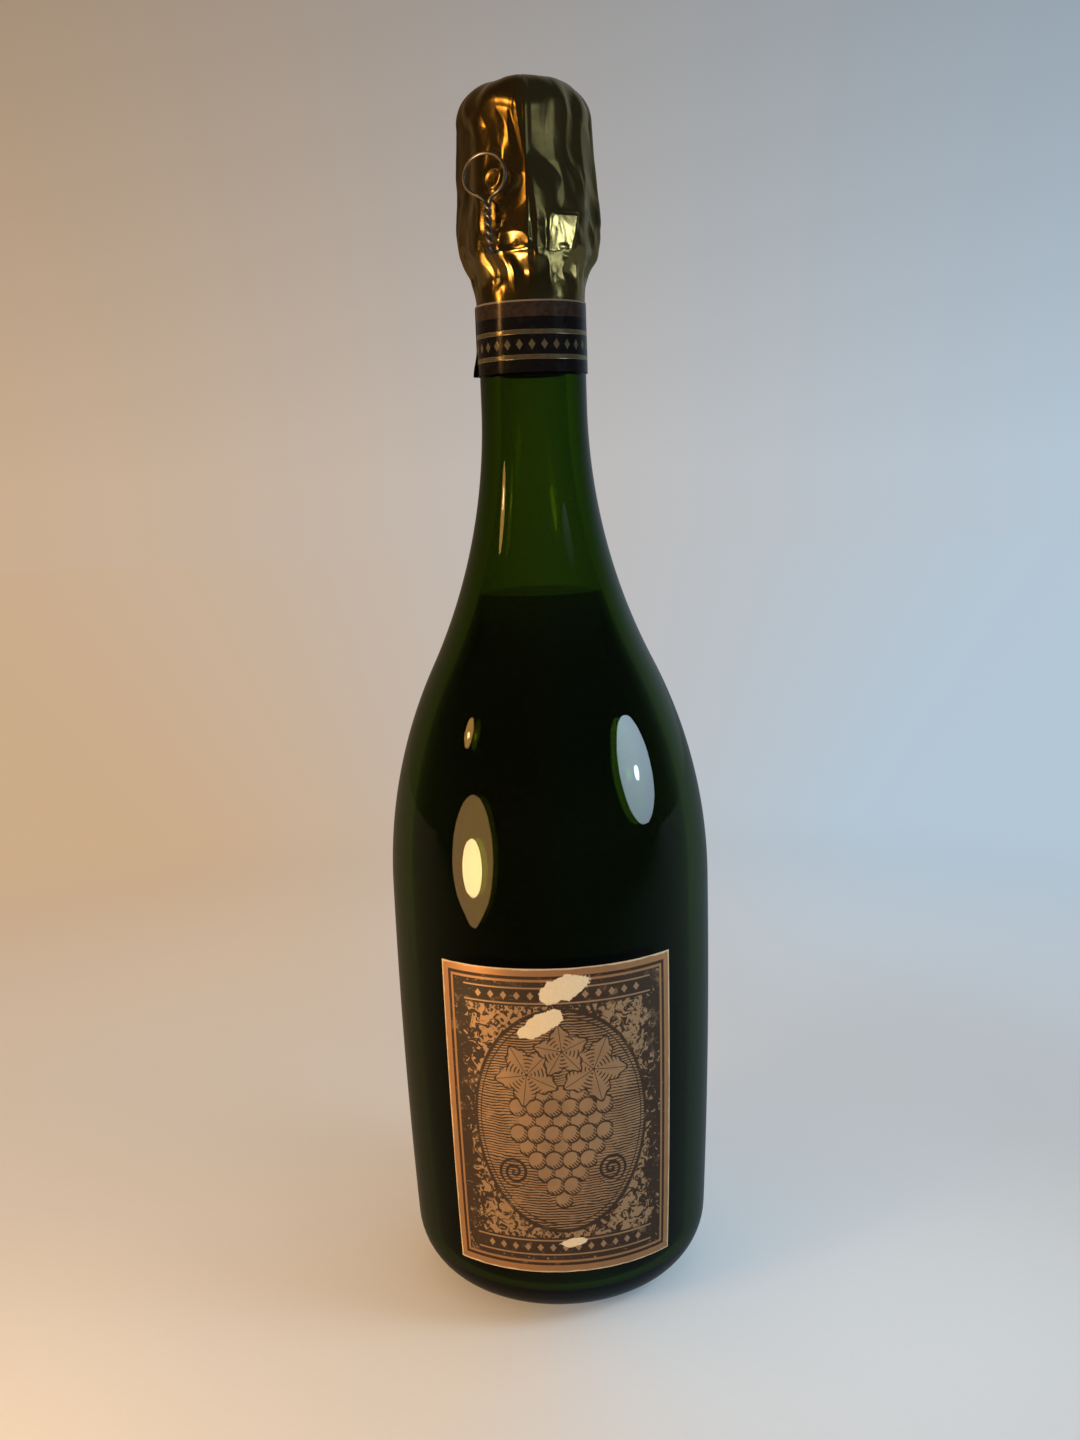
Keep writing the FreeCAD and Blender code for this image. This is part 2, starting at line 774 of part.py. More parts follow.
def cut_slit(body):
    """Cuts the slit, open at the tear line, through which the belt's ends reach the loop."""
    half = size("slit_width") / TWO
    high = tear_height + foil_gap
    outline = Outline(body, "slit_outline", (ZERO - half, slit_bottom))
    outline.line((half, slit_bottom))
    outline.line((half, high))
    outline.line((ZERO - half, high))
    outline.close()
    outline.turn_about_height(size("loop_azimuth").value)
    slit = body.newObject("PartDesign::Pocket", "slit")
    slit.Profile = outline.sketch
    slit.Reversed = True
    slit.setExpression("Length", (foil_bulge + foil_gap).text)


def draw_hood(body, name, inset):
    """The hood between the ribs, from its top down to the tear line."""
    top = hood_top - inset
    shoulder = head_radius + cap_outer_round - head_round + foil_gap + foil_sheet - inset
    curve = shoulder - head_flat
    outline = Outline(body, name, (ZERO, top))
    outline.line((head_flat, top))
    outline.corner((shoulder, top - curve), (head_flat, top - curve), curve)
    outline.line((foil_bulge - inset, hood_bottom))
    outline.line((ZERO, hood_bottom))
    outline.close()
    return outline


def make_hood():
    body = make_body("foil_hood")
    spine = Outline(body, "hood_rib_line", (leg_foot_radius, hood_bottom))
    spine.line((LEG_CORNER.x, LEG_CORNER.z))
    rib_end = (head_flat, HEAD_MIDDLE.z + leg_round.value)
    spine.arc(rib_end, (head_flat, head_middle), leg_round, smooth=True)
    edges = ["Edge1", "Edge2"]
    revolve(body, draw_hood(body, "hood_outside", ZERO), "hood_blank")
    add_ribs(body, "PartDesign::AdditivePipe", "hood_rib", spine, edges, hood_bottom, rib_outer)
    revolve(body, draw_hood(body, "hood_inside", foil_sheet), "hood_hollow", "PartDesign::Groove")
    add_ribs(body, "PartDesign::SubtractivePipe", "hood_groove", spine, edges, hood_bottom, rib_inner)
    return body


def draw_skirt(body, name, inset):
    """The skirt from the tear line, over the belt and its eyes, down to its end under the collar."""
    bulge = foil_bulge - inset
    neck = neck_radius + size("glue_gap") + foil_sheet - inset
    outline = Outline(body, name, (ZERO, tear_height))
    outline.line((bulge, tear_height))
    outline.line((bulge, skirt_bulge_foot))
    outline.line((neck, skirt_bulge_foot - size("skirt_flare")))
    outline.line((neck, foil_end))
    outline.line((ZERO, foil_end))
    outline.close()
    return outline


def make_skirt():
    body = make_body("foil_skirt")
    revolve(body, draw_skirt(body, "skirt_outside", ZERO), "skirt_blank")
    revolve(body, draw_skirt(body, "skirt_inside", foil_sheet), "skirt_hollow", "PartDesign::Groove")
    cut_slit(body)
    return body


def make_collar():
    body = make_body("neck_collar")
    inner = neck_radius + size("glue_gap") * TWO + foil_sheet
    outer = inner + size("collar_sheet")
    low = collar_top - size("collar_depth")
    outline = Outline(body, "collar_section", (inner, low))
    outline.line((outer, low))
    outline.line((outer, collar_top))
    outline.line((inner, collar_top))
    outline.close()
    revolve(body, outline, "collar_wrap")
    return body


def make_label():
    body = make_body("front_label")
    low = size("label_bottom")
    high = low + size("label_height")
    inner = body_curve + size("glue_gap")
    outer = inner + size("label_sheet")

    def edge(radius, height):
        return body_middle[0].value + math.sqrt(radius.value**2 - (height - belly_height).value ** 2)

    outline = Outline(body, "label_section", (edge(outer, low), low))
    outline.arc((edge(outer, high), high), body_middle, outer)
    outline.line((edge(inner, high), high))
    outline.arc((edge(inner, low), low), body_middle, inner)
    outline.close()
    revolve(body, outline, "label_wrap", sweep=size("label_sweep"))
    start = -90 + size("label_turn").value - size("label_sweep").value / 2
    body.Placement = Placement(Vector(), Rotation(HEIGHT, start))
    return body


pieces = [
    make_glass(),
    make_wine(),
    make_cork_body(),
    make_cork_disc("cork_disc_upper", cork_bottom + disc_depth, None),
    make_cork_disc("cork_disc_lower", cork_bottom, size("disc_chamfer")),
    make_cap(),
    make_cage(),
    make_belt(),
    make_loop(),
    make_hood(),
    make_skirt(),
    make_collar(),
    make_label(),
]
doc.recompute()

for item in doc.Objects:
    if "Invalid" in item.State or "Error" in item.State:
        raise RuntimeError(f"{item.Label} failed: {item.State}")
for piece in pieces:
    if piece.Shape.isNull() or not piece.Shape.isValid():
        raise RuntimeError(f"{piece.Label} has no valid shape")

os.makedirs("parts", exist_ok=True)
for piece in pieces:
    piece.Shape.exportStep(f"parts/{piece.Label}.step")
    print(piece.Label, len(piece.Shape.Solids), "solid,", round(piece.Shape.Volume), "cubic mm")
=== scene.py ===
import math

import bpy
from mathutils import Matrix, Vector, noise


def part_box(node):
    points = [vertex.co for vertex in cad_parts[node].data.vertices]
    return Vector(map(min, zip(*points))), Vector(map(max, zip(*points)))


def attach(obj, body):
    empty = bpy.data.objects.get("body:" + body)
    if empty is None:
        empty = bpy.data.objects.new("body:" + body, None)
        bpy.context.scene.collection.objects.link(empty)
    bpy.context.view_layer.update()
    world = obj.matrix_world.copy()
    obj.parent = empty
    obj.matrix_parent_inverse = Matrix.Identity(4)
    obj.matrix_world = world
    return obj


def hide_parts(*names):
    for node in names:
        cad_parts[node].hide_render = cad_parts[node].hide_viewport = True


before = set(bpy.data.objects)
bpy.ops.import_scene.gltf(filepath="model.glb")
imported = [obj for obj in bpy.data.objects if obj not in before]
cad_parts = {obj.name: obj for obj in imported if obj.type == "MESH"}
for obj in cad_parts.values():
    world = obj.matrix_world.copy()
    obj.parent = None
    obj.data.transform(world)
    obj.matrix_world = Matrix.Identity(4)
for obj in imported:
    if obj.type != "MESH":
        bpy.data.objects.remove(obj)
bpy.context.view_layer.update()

# A corked, wired and foiled champagne bottle. Lengths are in millimetres. Angles are in degrees, and are
# counted round the bottle from the middle of its front towards +X.

MM = 0.001
BELLY_RADIUS = 45.0


def heights(node):
    """The lowest and highest point of a CAD node."""
    low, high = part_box(node)
    return low.z / MM, high.z / MM


def at(angle, radius, height):
    """A point in metres, from its angle, its distance from the bottle's axis and its height."""
    turn = math.radians(angle)
    return Vector((radius * math.sin(turn), -radius * math.cos(turn), height)) * MM


def ease(value, start, end):
    """Goes smoothly from 0 at start to 1 at end."""
    share = min(1.0, max(0.0, (value - start) / (end - start)))
    return share * share * (3 - 2 * share)


def hump(value, middle, width):
    """1 at the middle, falling smoothly to nearly 0 at twice that width."""
    return math.exp(-(((value - middle) / width) ** 2))


def blend(start, end, share):
    return start + (end - start) * share


def between(angle, middle):
    """The signed angle from middle to angle, within half a turn."""
    return (angle - middle + 180.0) % 360.0 - 180.0


# Materials: numbers that vary over a surface, worked out by a material's own nodes


class Field:
    """A number that varies over a surface. Arithmetic on it adds nodes to its material."""

    def __init__(self, tree, socket):
        self.tree = tree
        self.socket = socket

    def apply(self, operation, *others):
        node = self.tree.nodes.new("ShaderNodeMath")
        node.operation = operation
        for slot, value in zip(node.inputs, (self, *others)):
            feed(self.tree, value, slot)
        return Field(self.tree, node.outputs[0])

    def __add__(self, other):
        return self.apply("ADD", other)

    def __sub__(self, other):
        return self.apply("SUBTRACT", other)

    def __mul__(self, other):
        return self.apply("MULTIPLY", other)

    def __truediv__(self, other):
        return self.apply("DIVIDE", other)

    def __neg__(self):
        return self * -1.0

    def __abs__(self):
        return self.apply("ABSOLUTE")

    def sine(self):
        return self.apply("SINE")

    def floor(self):
        return self.apply("FLOOR")

    def lower(self, other):
        return self.apply("MINIMUM", other)

    def higher(self, other):
        return self.apply("MAXIMUM", other)

    def without(self, other):
        """This number where other is 0, and 0 where other is 1."""
        return self * (-other + 1.0)

    def ramp(self, start, end):
        """0 up to start and 1 from end on."""
        node = self.tree.nodes.new("ShaderNodeMapRange")
        node.interpolation_type = "SMOOTHSTEP"
        for slot, value in zip(node.inputs, (self, start, end)):
            feed(self.tree, value, slot)
        return Field(self.tree, node.outputs[0])

    def inside(self, soft=0.1):
        """1 where this distance is below zero."""
        return -self.ramp(-soft, soft) + 1.0

    def band(self, half, soft=0.1):
        """1 within half on either side of zero."""
        return (abs(self) - half).inside(soft)


def feed(tree, value, slot):
    """Gives a node's slot a field, another node's output or a constant."""
    if isinstance(value, Field):
        tree.links.new(value.socket, slot)
    elif isinstance(value, bpy.types.NodeSocket):
        tree.links.new(value, slot)
    else:
        slot.default_value = value


def length(across, up):
    return (across * across + up * up).apply("SQRT")


class Paint:
    """A new material with one Principled shader, and short ways to add nodes to it."""

    def __init__(self, name, **constants):
        self.material = bpy.data.materials.new(name)
        self.material.use_nodes = True
        self.tree = self.material.node_tree
        self.shader = self.tree.nodes["Principled BSDF"]
        self.output = self.tree.nodes["Material Output"]
        self.place = self.tree.nodes.new("ShaderNodeTexCoord").outputs["Object"]
        for slot, value in constants.items():
            self.set(slot.replace("_", " "), value)

    def set(self, name, value):
        slot = next(s for s in self.shader.inputs if s.name.lower() == name.lower())
        if isinstance(value, tuple) and len(value) == 3:
            value = (*value, 1.0)
        feed(self.tree, value, slot)

    def split(self, socket):
        node = self.tree.nodes.new("ShaderNodeSeparateXYZ")
        self.tree.links.new(socket, node.inputs[0])
        return [Field(self.tree, out) for out in node.outputs]

    def stretched(self, x, y, z):
        """The place on the object with its three axes scaled."""
        node = self.tree.nodes.new("ShaderNodeMapping")
        self.tree.links.new(self.place, node.inputs["Vector"])
        node.inputs["Scale"].default_value = (x, y, z)
        return node.outputs[0]

    def noise(self, size, detail=4.0, rough=0.55, place=None, warp=0.0):
        """Cloudy values about 0.5 with lumps of that size in millimetres."""
        node = self.tree.nodes.new("ShaderNodeTexNoise")
        self.tree.links.new(place or self.place, node.inputs["Vector"])
        node.inputs["Scale"].default_value = 1.0 / (size * MM)
        node.inputs["Detail"].default_value = detail
        node.inputs["Roughness"].default_value = rough
        node.inputs["Distortion"].default_value = warp
        return Field(self.tree, node.outputs[0])

    def cells(self, size):
        """The distance to the middle of the nearest cell, in cells about that size in millimetres."""
        node = self.tree.nodes.new("ShaderNodeTexVoronoi")
        self.tree.links.new(self.place, node.inputs["Vector"])
        node.inputs["Scale"].default_value = 1.0 / (size * MM)
        return Field(self.tree, node.outputs["Distance"])

    def mix(self, share, first, second):
        """A colour that goes from first to second as share goes from 0 to 1."""
        node = self.tree.nodes.new("ShaderNodeMix")
        node.data_type = "RGBA"
        feed(self.tree, share, node.inputs["Factor"])
        for slot, colour in ((node.inputs[6], first), (node.inputs[7], second)):
            feed(self.tree, (*colour, 1.0) if isinstance(colour, tuple) else colour, slot)
        return node.outputs[2]

    def bump(self, height, depth, strength=1.0):
        """Raises the surface by up to that depth in millimetres where height is 1."""
        node = self.tree.nodes.new("ShaderNodeBump")
        node.inputs["Strength"].default_value = strength
        node.inputs["Distance"].default_value = depth * MM
        feed(self.tree, height, node.inputs["Height"])
        self.set("Normal", node.outputs[0])

    def absorb(self, colour, density):
        """Tints what passes through the solid, more the longer its way in it."""
        node = self.tree.nodes.new("ShaderNodeVolumeAbsorption")
        node.inputs["Color"].default_value = (*colour, 1.0)
        node.inputs["Density"].default_value = density
        self.tree.links.new(node.outputs[0], self.output.inputs["Volume"])


def glass_paint():
    paint = Paint(
        "green_glass", base_color=(0.5, 0.6, 0.3), transmission_weight=1.0, roughness=0.0, ior=1.52
    )
    paint.bump(paint.noise(14.0, detail=2.0), 0.05, 0.35)
    paint.absorb((0.57, 0.66, 0.22), 550.0)
    return paint.material


def wine_paint():
    paint = Paint("wine", base_color=(1.0, 0.97, 0.9), transmission_weight=1.0, roughness=0.0, ior=1.34)
    paint.bump(paint.noise(9.0, detail=1.0), 0.01, 0.2)
    paint.absorb((0.62, 0.56, 0.3), 105.0)
    return paint.material


def foil_paint():
    paint = Paint("gold_foil", metallic=1.0)
    stain = paint.noise(9.0, detail=5.0, warp=0.6)
    speck = paint.noise(0.9, detail=3.0)
    gold = paint.mix(stain.ramp(0.35, 0.7), (0.50, 0.35, 0.12), (0.38, 0.28, 0.11))
    worn = paint.mix(speck.ramp(0.6, 0.8) * 0.2, gold, (0.54, 0.43, 0.25))
    paint.set("Base Color", worn)
    paint.set("Roughness", stain * 0.12 + 0.12)
    drawn = paint.noise(7.0, detail=1.5, warp=0.4, place=paint.stretched(1.0, 1.0, 0.3))
    paint.bump(-abs(drawn - 0.5) * 3.0, 0.2, 0.3)
    return paint.material


def steel_paint():
    paint = Paint("steel_wire", metallic=1.0)
    dull = paint.noise(1.6, detail=4.0)
    drawn = paint.noise(0.25, detail=2.0, place=paint.stretched(1.0, 1.0, 0.15))
    paint.set("Base Color", paint.mix(dull.ramp(0.4, 0.7), (0.42, 0.40, 0.37), (0.26, 0.23, 0.20)))
    paint.set("Roughness", dull * 0.25 + 0.2)
    paint.bump(drawn, 0.03, 0.4)
    return paint.material


# Two rings printed on the cap: their radii and half widths
CAP_RINGS = ((7.6, 0.3), (3.0, 0.25))


def cap_paint():
    paint = Paint("cap_tinplate", metallic=0.9)
    x, y, _ = paint.split(paint.place)
    away = length(x, y) / MM
    outer, inner = ((away - radius).band(half) for radius, half in CAP_RINGS)
    ring = outer.higher(inner)
    wear = paint.noise(2.5, detail=5.0)
    gold = paint.mix(wear.ramp(0.45, 0.7), (0.62, 0.46, 0.17), (0.5, 0.37, 0.15))
    paint.set("Base Color", paint.mix(ring, gold, (0.08, 0.02, 0.02)))
    paint.set("Roughness", wear * 0.2 + 0.2)
    paint.bump(ring + wear * 0.1, 0.15, 0.6)
    return paint.material


def cork_paint(name, pale, dark, grain):
    paint = Paint(name, roughness=0.85)
    chips = paint.cells(grain)
    pores = paint.noise(grain * 0.5, detail=6.0)
    deep = pores.ramp(0.56, 0.66)
    tone = paint.mix(chips.ramp(0.1, 0.8), pale, dark)
    paint.set("Base Color", paint.mix(deep * 0.8, tone, (0.12, 0.06, 0.03)))
    paint.bump(chips * 0.4 - deep, 0.3, 0.5)
    return paint.material


def lozenges(across, up, pitch, half_width, half_height, soft):
    """A row of lozenges along a line: 1 inside them."""
    step = across / pitch
    beside = abs(step - (step + 0.5).floor()) * pitch
    return (beside / half_width + abs(up) / half_height - 1.0).inside(soft)


# The collar's stripes, as distances down from its upper edge, and its row of lozenges

COLLAR_LOW, COLLAR_TOP = heights("neck_collar")
COLLAR_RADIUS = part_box("neck_collar")[1].x / MM
EDGE_LINE = 0.45
PALE_EDGE = 4.2
GOLD_LINES = (8.1, 14.5)
GOLD_HALF = 0.55
LOZENGE_ROW = 11.3
LOZENGES = 28
LOZENGE_PITCH = 2 * math.pi * COLLAR_RADIUS / LOZENGES
LOZENGE_HALF = (0.9, 1.3)


def collar_paint():
    paint = Paint("collar_paper", specular_ior_level=0.4)
    x, y, z = paint.split(paint.place)
    wobble = paint.noise(12.0, detail=2.0) * 0.5 - 0.25
    down = -z / MM + COLLAR_TOP + wobble
    across = x.apply("ARCTAN2", -y) * COLLAR_RADIUS
    gold = (down - GOLD_LINES[0]).band(GOLD_HALF).higher((down - GOLD_LINES[1]).band(GOLD_HALF))
    lozenge = lozenges(across, down - LOZENGE_ROW, LOZENGE_PITCH, *LOZENGE_HALF, 0.2)
    scuff = paint.noise(1.4, detail=5.0)
    pale = (down - PALE_EDGE).inside(0.15)
    edge = (down - EDGE_LINE).inside(0.12)
    black = paint.mix(scuff.ramp(0.5, 0.75), (0.006, 0.005, 0.005), (0.014, 0.012, 0.010))
    mauve = paint.mix(scuff.ramp(0.35, 0.7), (0.045, 0.028, 0.02), (0.07, 0.048, 0.036))
    bright = paint.mix(scuff.ramp(0.4, 0.75), (0.44, 0.35, 0.20), (0.30, 0.23, 0.13))
    colour = paint.mix(pale, black, mauve)
    colour = paint.mix(edge, colour, (0.34, 0.27, 0.20))
    colour = paint.mix(lozenge * 0.4, colour, bright)
    paint.set("Base Color", paint.mix(gold, colour, bright))
    paint.set("Metallic", gold.higher(lozenge * 0.5) * 0.85 + pale * 0.4)
    paint.set("Roughness", scuff * 0.14 + 0.11)
    paint.bump(gold * 0.6 + lozenge * 0.3 + paint.noise(2.6, detail=4.0) * 0.5, 0.12, 0.5)
    return paint.material


# The label's print: a vine, drawn from distances in millimetres about the label's middle

LABEL_LOW, LABEL_TOP = heights("front_label")
LABEL_HEIGHT = LABEL_TOP - LABEL_LOW
LABEL_SWEEP = 84.0
LABEL_TURN = 1.0
LABEL_WIDTH = math.radians(LABEL_SWEEP) * BELLY_RADIUS

# The bunch: its fruit, how far its tip is below its middle, how fast it widens, its half width and its top
GRAPE_PITCH = 4.7
GRAPE_RADIUS = 2.55
BUNCH_TIP = 24.0
BUNCH_TAPER = 0.6
BUNCH_HALF = 12.0
BUNCH_TOP = 8.0

# Engraved lines, in radians for each millimetre: the shading of the motif and the ruled ground
HATCH = 6.0
RULE = 8.0

# How many times a tendril winds round
SCROLL_TURNS = 2.5


def grapes(x, y):
    """A bunch of round fruit that tapers downwards: its area and its dark lines."""
    row_height = GRAPE_PITCH * 0.8
    body = lines = None
    for row in range(2):
        left = x + GRAPE_PITCH / 2 * row
        up = y + row_height * row
        beside = left - (left / GRAPE_PITCH + 0.5).floor() * GRAPE_PITCH
        above = up - (up / (row_height * 2) + 0.5).floor() * (row_height * 2)
        middle_x = abs(x - beside)
        middle_y = y - above
        half_width = ((middle_y + BUNCH_TIP) * BUNCH_TAPER).lower(BUNCH_HALF)
        bunch = (middle_x - half_width).inside(0.05) * (middle_y - BUNCH_TOP).inside(0.05)
        away = length(beside, above) - GRAPE_RADIUS
        fruit = away.inside() * bunch
        shadow = (length(beside + 0.8, above - 0.8) - GRAPE_RADIUS * 0.9).ramp(-0.1, 0.1)
        hatch = ((x + y) * HATCH).sine().ramp(-0.3, 0.3)
        ink = (away.band(0.26) * bunch).higher(fruit * shadow * hatch)
        lines = ink if row == 0 else lines.without(fruit).higher(ink)
        body = fruit if row == 0 else body.higher(fruit)
    return body, lines


def leaf(x, y, size, tilt):
    """A five-lobed leaf with veins: its area and its dark lines."""
    angle = x.apply("ARCTAN2", y) + tilt
    reach = length(x, y)
    lobes = (angle * 5.0).apply("COSINE") * 0.15 + (angle * 15.0).apply("COSINE") * 0.05 + 0.8
    away = reach - lobes * size
    area = away.inside()
    veins = (angle * 2.5).sine()
    lines = away.band(0.3).higher(area * (veins * reach).band(0.25))
    hatch = (reach * HATCH).sine().ramp(0.2, 0.7) * (angle * 5.0).apply("COSINE").ramp(0.3, -0.6)
    return area, lines.higher(area * hatch)


def scroll(x, y, size):
    """A tendril that winds inwards."""
    reach = length(x, y)
    turns = x.apply("ARCTAN2", y) / (2.0 * math.pi)
    wound = reach / size * SCROLL_TURNS - turns
    line = (wound - (wound + 0.5).floor()) * size / SCROLL_TURNS
    return line.band(0.42) * (reach - size).inside()


# The print's border and the line in it, as distances from the label's edge
BORDER = 3.6
FRAME_LINE = 2.5
FRAME_HALF = 0.45

# The oval: its half width and height, and how far it is above the label's middle
MEDAL = (24.0, 31.5)
MEDAL_UP = 0.5

# The motif: the leaves' places, sizes and turns in radians, the bunch's height, and the tendrils' places
# and size
LEAVES = ((-9.0, 14.0, 9.0, 0.5), (9.0, 15.0, 9.5, -0.4), (0.5, 20.5, 7.5, 0.1))
BUNCH_UP = 1.0
TENDRIL_ASIDE = 13.5
TENDRIL_DOWN = 14.0
TENDRIL_SIZE = 4.5

# The two dark bands: their heights above the middle, their half sizes, and their lozenges
BANDS_UP = (36.0, -36.0)
BAND_HALF = (27.0, 2.9)
BEAD_PITCH = 3.6
BEAD_HALF = (0.9, 1.1)

# Places where the face of the paper is torn away: their middles, half lengths and half widths, and tilts
# in radians
TEARS = ((1.8, 38.0, 7.2, 3.2, 0.32), (-4.6, 28.2, 6.6, 2.6, 0.5), (2.0, -34.6, 3.8, 1.3, 0.1))


def label_paint():
    paint = Paint("label_paper", specular_ior_level=0.3)
    flat = paint.tree.nodes.new("ShaderNodeTexCoord").outputs["UV"]
    across, up, _ = paint.split(flat)
    x = (across - 0.5) * LABEL_WIDTH
    y = (up - 0.5) * LABEL_HEIGHT
    edge = (-abs(x) + LABEL_WIDTH / 2).lower(-abs(y) + LABEL_HEIGHT / 2)
    panel = (-edge + BORDER).inside()
    frame_lines = (edge - FRAME_LINE).band(FRAME_HALF)

    # Ground: leaves and dots in the corners, and ruled shading that opens towards the middle
    clouds = paint.noise(7.0, detail=5.0, warp=0.5)
    leafy = paint.noise(2.2, detail=3.0, warp=1.5)
    medal = length(x / MEDAL[0], (y - MEDAL_UP) / MEDAL[1])
    rule = ((y + clouds * 2.0) * RULE).sine()
    ruled = (rule + medal * 1.3 + clouds * 1.8 - 2.0).ramp(-0.25, 0.25)
    near_frame = (edge - BORDER).ramp(9.0, 0.0)
    foliage = (leafy + near_frame * 0.16 - 0.5).ramp(-0.03, 0.03)
    outside = (medal - 1.0).ramp(-0.01, 0.01)
    ground = ruled.without(outside).higher(foliage * outside)
    ring = (medal - 1.0).band(0.02, 0.008).higher((medal - 0.94).band(0.007, 0.006))

    # Motif: a bunch of grapes under three leaves, with tendrils at either side
    fruit, ink = grapes(x, y - BUNCH_UP)
    for middle_x, middle_y, size, tilt in LEAVES:
        area, lines = leaf(x - middle_x, y - middle_y, size, tilt)
        ink = ink.without(area).higher(lines)
        fruit = fruit.higher(area)
    tendrils = scroll(abs(x) - TENDRIL_ASIDE, y + TENDRIL_DOWN, TENDRIL_SIZE)
    ink = ground.without(fruit).higher(ink).higher(tendrils).higher(ring)

    # A dark band above and one below, each with a row of lozenges between two lines
    half_width, half_height = BAND_HALF
    for middle in BANDS_UP:
        up = y - middle
        band = (abs(x) - half_width).inside() * (abs(up) - half_height).inside()
        lines = (abs(up) - half_height + 0.8).band(0.2) * (abs(x) - half_width + 1.0).inside()
        beads = lozenges(x, up, BEAD_PITCH, *BEAD_HALF, 0.15) * (abs(x) - half_width + 3.0).inside()
        ink = ink.higher(band).without(lines).without(beads)
    ink = ink * panel
    ink = ink.higher(frame_lines)

    # Wear: rubbed print, scratches, torn places and a worn edge
    rubbed = paint.noise(5.0, detail=7.0, rough=0.7).ramp(0.56, 0.72)
    scratch = paint.noise(0.8, detail=3.0, place=paint.stretched(0.5, 0.5, 2.0)).ramp(0.66, 0.72)
    ink = ink.without((rubbed * 0.55).higher(scratch * 0.6))
    ragged = paint.noise(3.4, detail=6.0, rough=0.65) * 8.0 - 4.0
    torn = None
    for middle_x, middle_y, long, wide, tilt in TEARS:
        along = (x - middle_x) * math.cos(tilt) + (y - middle_y) * math.sin(tilt)
        aside = (y - middle_y) * math.cos(tilt) - (x - middle_x) * math.sin(tilt)
        patch = (length(along / long, aside / wide) - 1.0 + ragged * 0.16).inside(0.03)
        torn = patch if torn is None else torn.higher(patch)
    worn_edge = (edge + ragged * 0.12 - 0.35).inside(0.1)
    torn = torn.higher(worn_edge * 0.7)

    copper = paint.mix(clouds.ramp(0.3, 0.7), (0.60, 0.37, 0.20), (0.50, 0.31, 0.17))
    border = paint.mix(clouds.ramp(0.35, 0.65), (0.58, 0.29, 0.13), (0.50, 0.27, 0.13))
    paper = paint.mix(panel, border, copper)
    printed = paint.mix(ink * 0.95, paper, (0.022, 0.012, 0.008))
    pulp = paint.mix(paint.noise(1.0, detail=4.0), (0.80, 0.68, 0.47), (0.66, 0.53, 0.34))
    paint.set("Base Color", paint.mix(torn, printed, pulp))
    shine = (-ink + 1.0).without(torn)
    paint.set("Metallic", shine * 0.55)
    paint.set("Roughness", torn * 0.4 + ink * 0.15 + clouds * 0.2 + 0.28)
    paint.bump(ink * 0.25 - torn * 0.8 + paint.noise(1.2, detail=4.0) * 0.4, 0.1, 0.5)
    return paint.material


# Pieces built as meshes


def piece(made, body, material, nodes):
    """Puts an object on its body in place of CAD nodes, with its material."""
    bpy.context.scene.collection.objects.link(made)
    made.data.materials.append(material)
    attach(made, body)
    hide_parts(*nodes)
    return made


def sheet_mesh(name, rows, columns, point, wraps=False, pole=False):
    """A mesh of rows by columns of points. It may close round, and its first row may be one point."""
    mesh = bpy.data.meshes.new(name)
    columns_kept = columns if wraps else columns + 1
    first = 1 if pole else 0
    vertices = [point(0.0, 0.0)] if pole else []
    for row in range(first, rows + 1):
        vertices += [point(row / rows, column / columns) for column in range(columns_kept)]

    def index(row, column):
        if pole and row == 0:
            return 0
        return first + (row - first) * columns_kept + column % columns_kept

    faces = []
    for row in range(rows):
        for column in range(columns):
            corners = [(row, column), (row + 1, column), (row + 1, column + 1), (row, column + 1)]
            face = []
            for corner in corners:
                found = index(*corner)
                if found not in face:
                    face.append(found)
            faces.append(face)
    mesh.from_pydata(vertices, [], faces)
    for polygon in mesh.polygons:
        polygon.use_smooth = True
    return mesh


def thicken(made, thickness):
    """Gives a sheet its thickness, inwards from its face."""
    modifier = made.modifiers.new("thickness", "SOLIDIFY")
    modifier.thickness = thickness * MM
    modifier.offset = -1.0
    rim = made.modifiers.new("sharp_rim", "EDGE_SPLIT")
    rim.split_angle = math.radians(60.0)


# Glass: one closed section, from the top of the punt round the outside and back down the inside

HEEL_RADIUS = 18.8
BODY_CURVE = 1900.0
BELLY_HEIGHT = 118.0
SHOULDER_RADIUS = 137.4
NECK_RADIUS = 14.4
NECK_HEIGHT = 249.0
MOUTH = heights("glass_bottle")[1]
BORE_RADIUS = 9.0
BORE_DEPTH = 46.0
RING_RADIUS = 16.2
RING_DEPTH = 20.1
RING_HEIGHT = 7.5
RING_SLOPE = 0.8
GROOVE_RADIUS = 13.4
LIP_DEPTH = 8.0
LIP_ROUND = 2.2
MOUTH_ROUND = 0.8
WALL = 5.2
FOOT_WIDTH = 3.4
PUNT_ROUND = 9.0
PUNT_MIDDLE = 17.0
BASE_WALL = 7.0
BASE_ROUND = 8.5
GLASS_STEP = 1.6
GLASS_SIDES = 180


def arc(middle, radius, start, end):
    """Points of an arc in the section, between two directions in degrees."""
    steps = max(6, round(radius * math.radians(abs(end - start)) / GLASS_STEP))
    turns = [math.radians(blend(start, end, step / steps)) for step in range(steps + 1)]
    return [(middle[0] + radius * math.cos(turn), middle[1] + radius * math.sin(turn)) for turn in turns]


def direction(start, end):
    return math.degrees(math.atan2(end[1] - start[1], end[0] - start[0]))


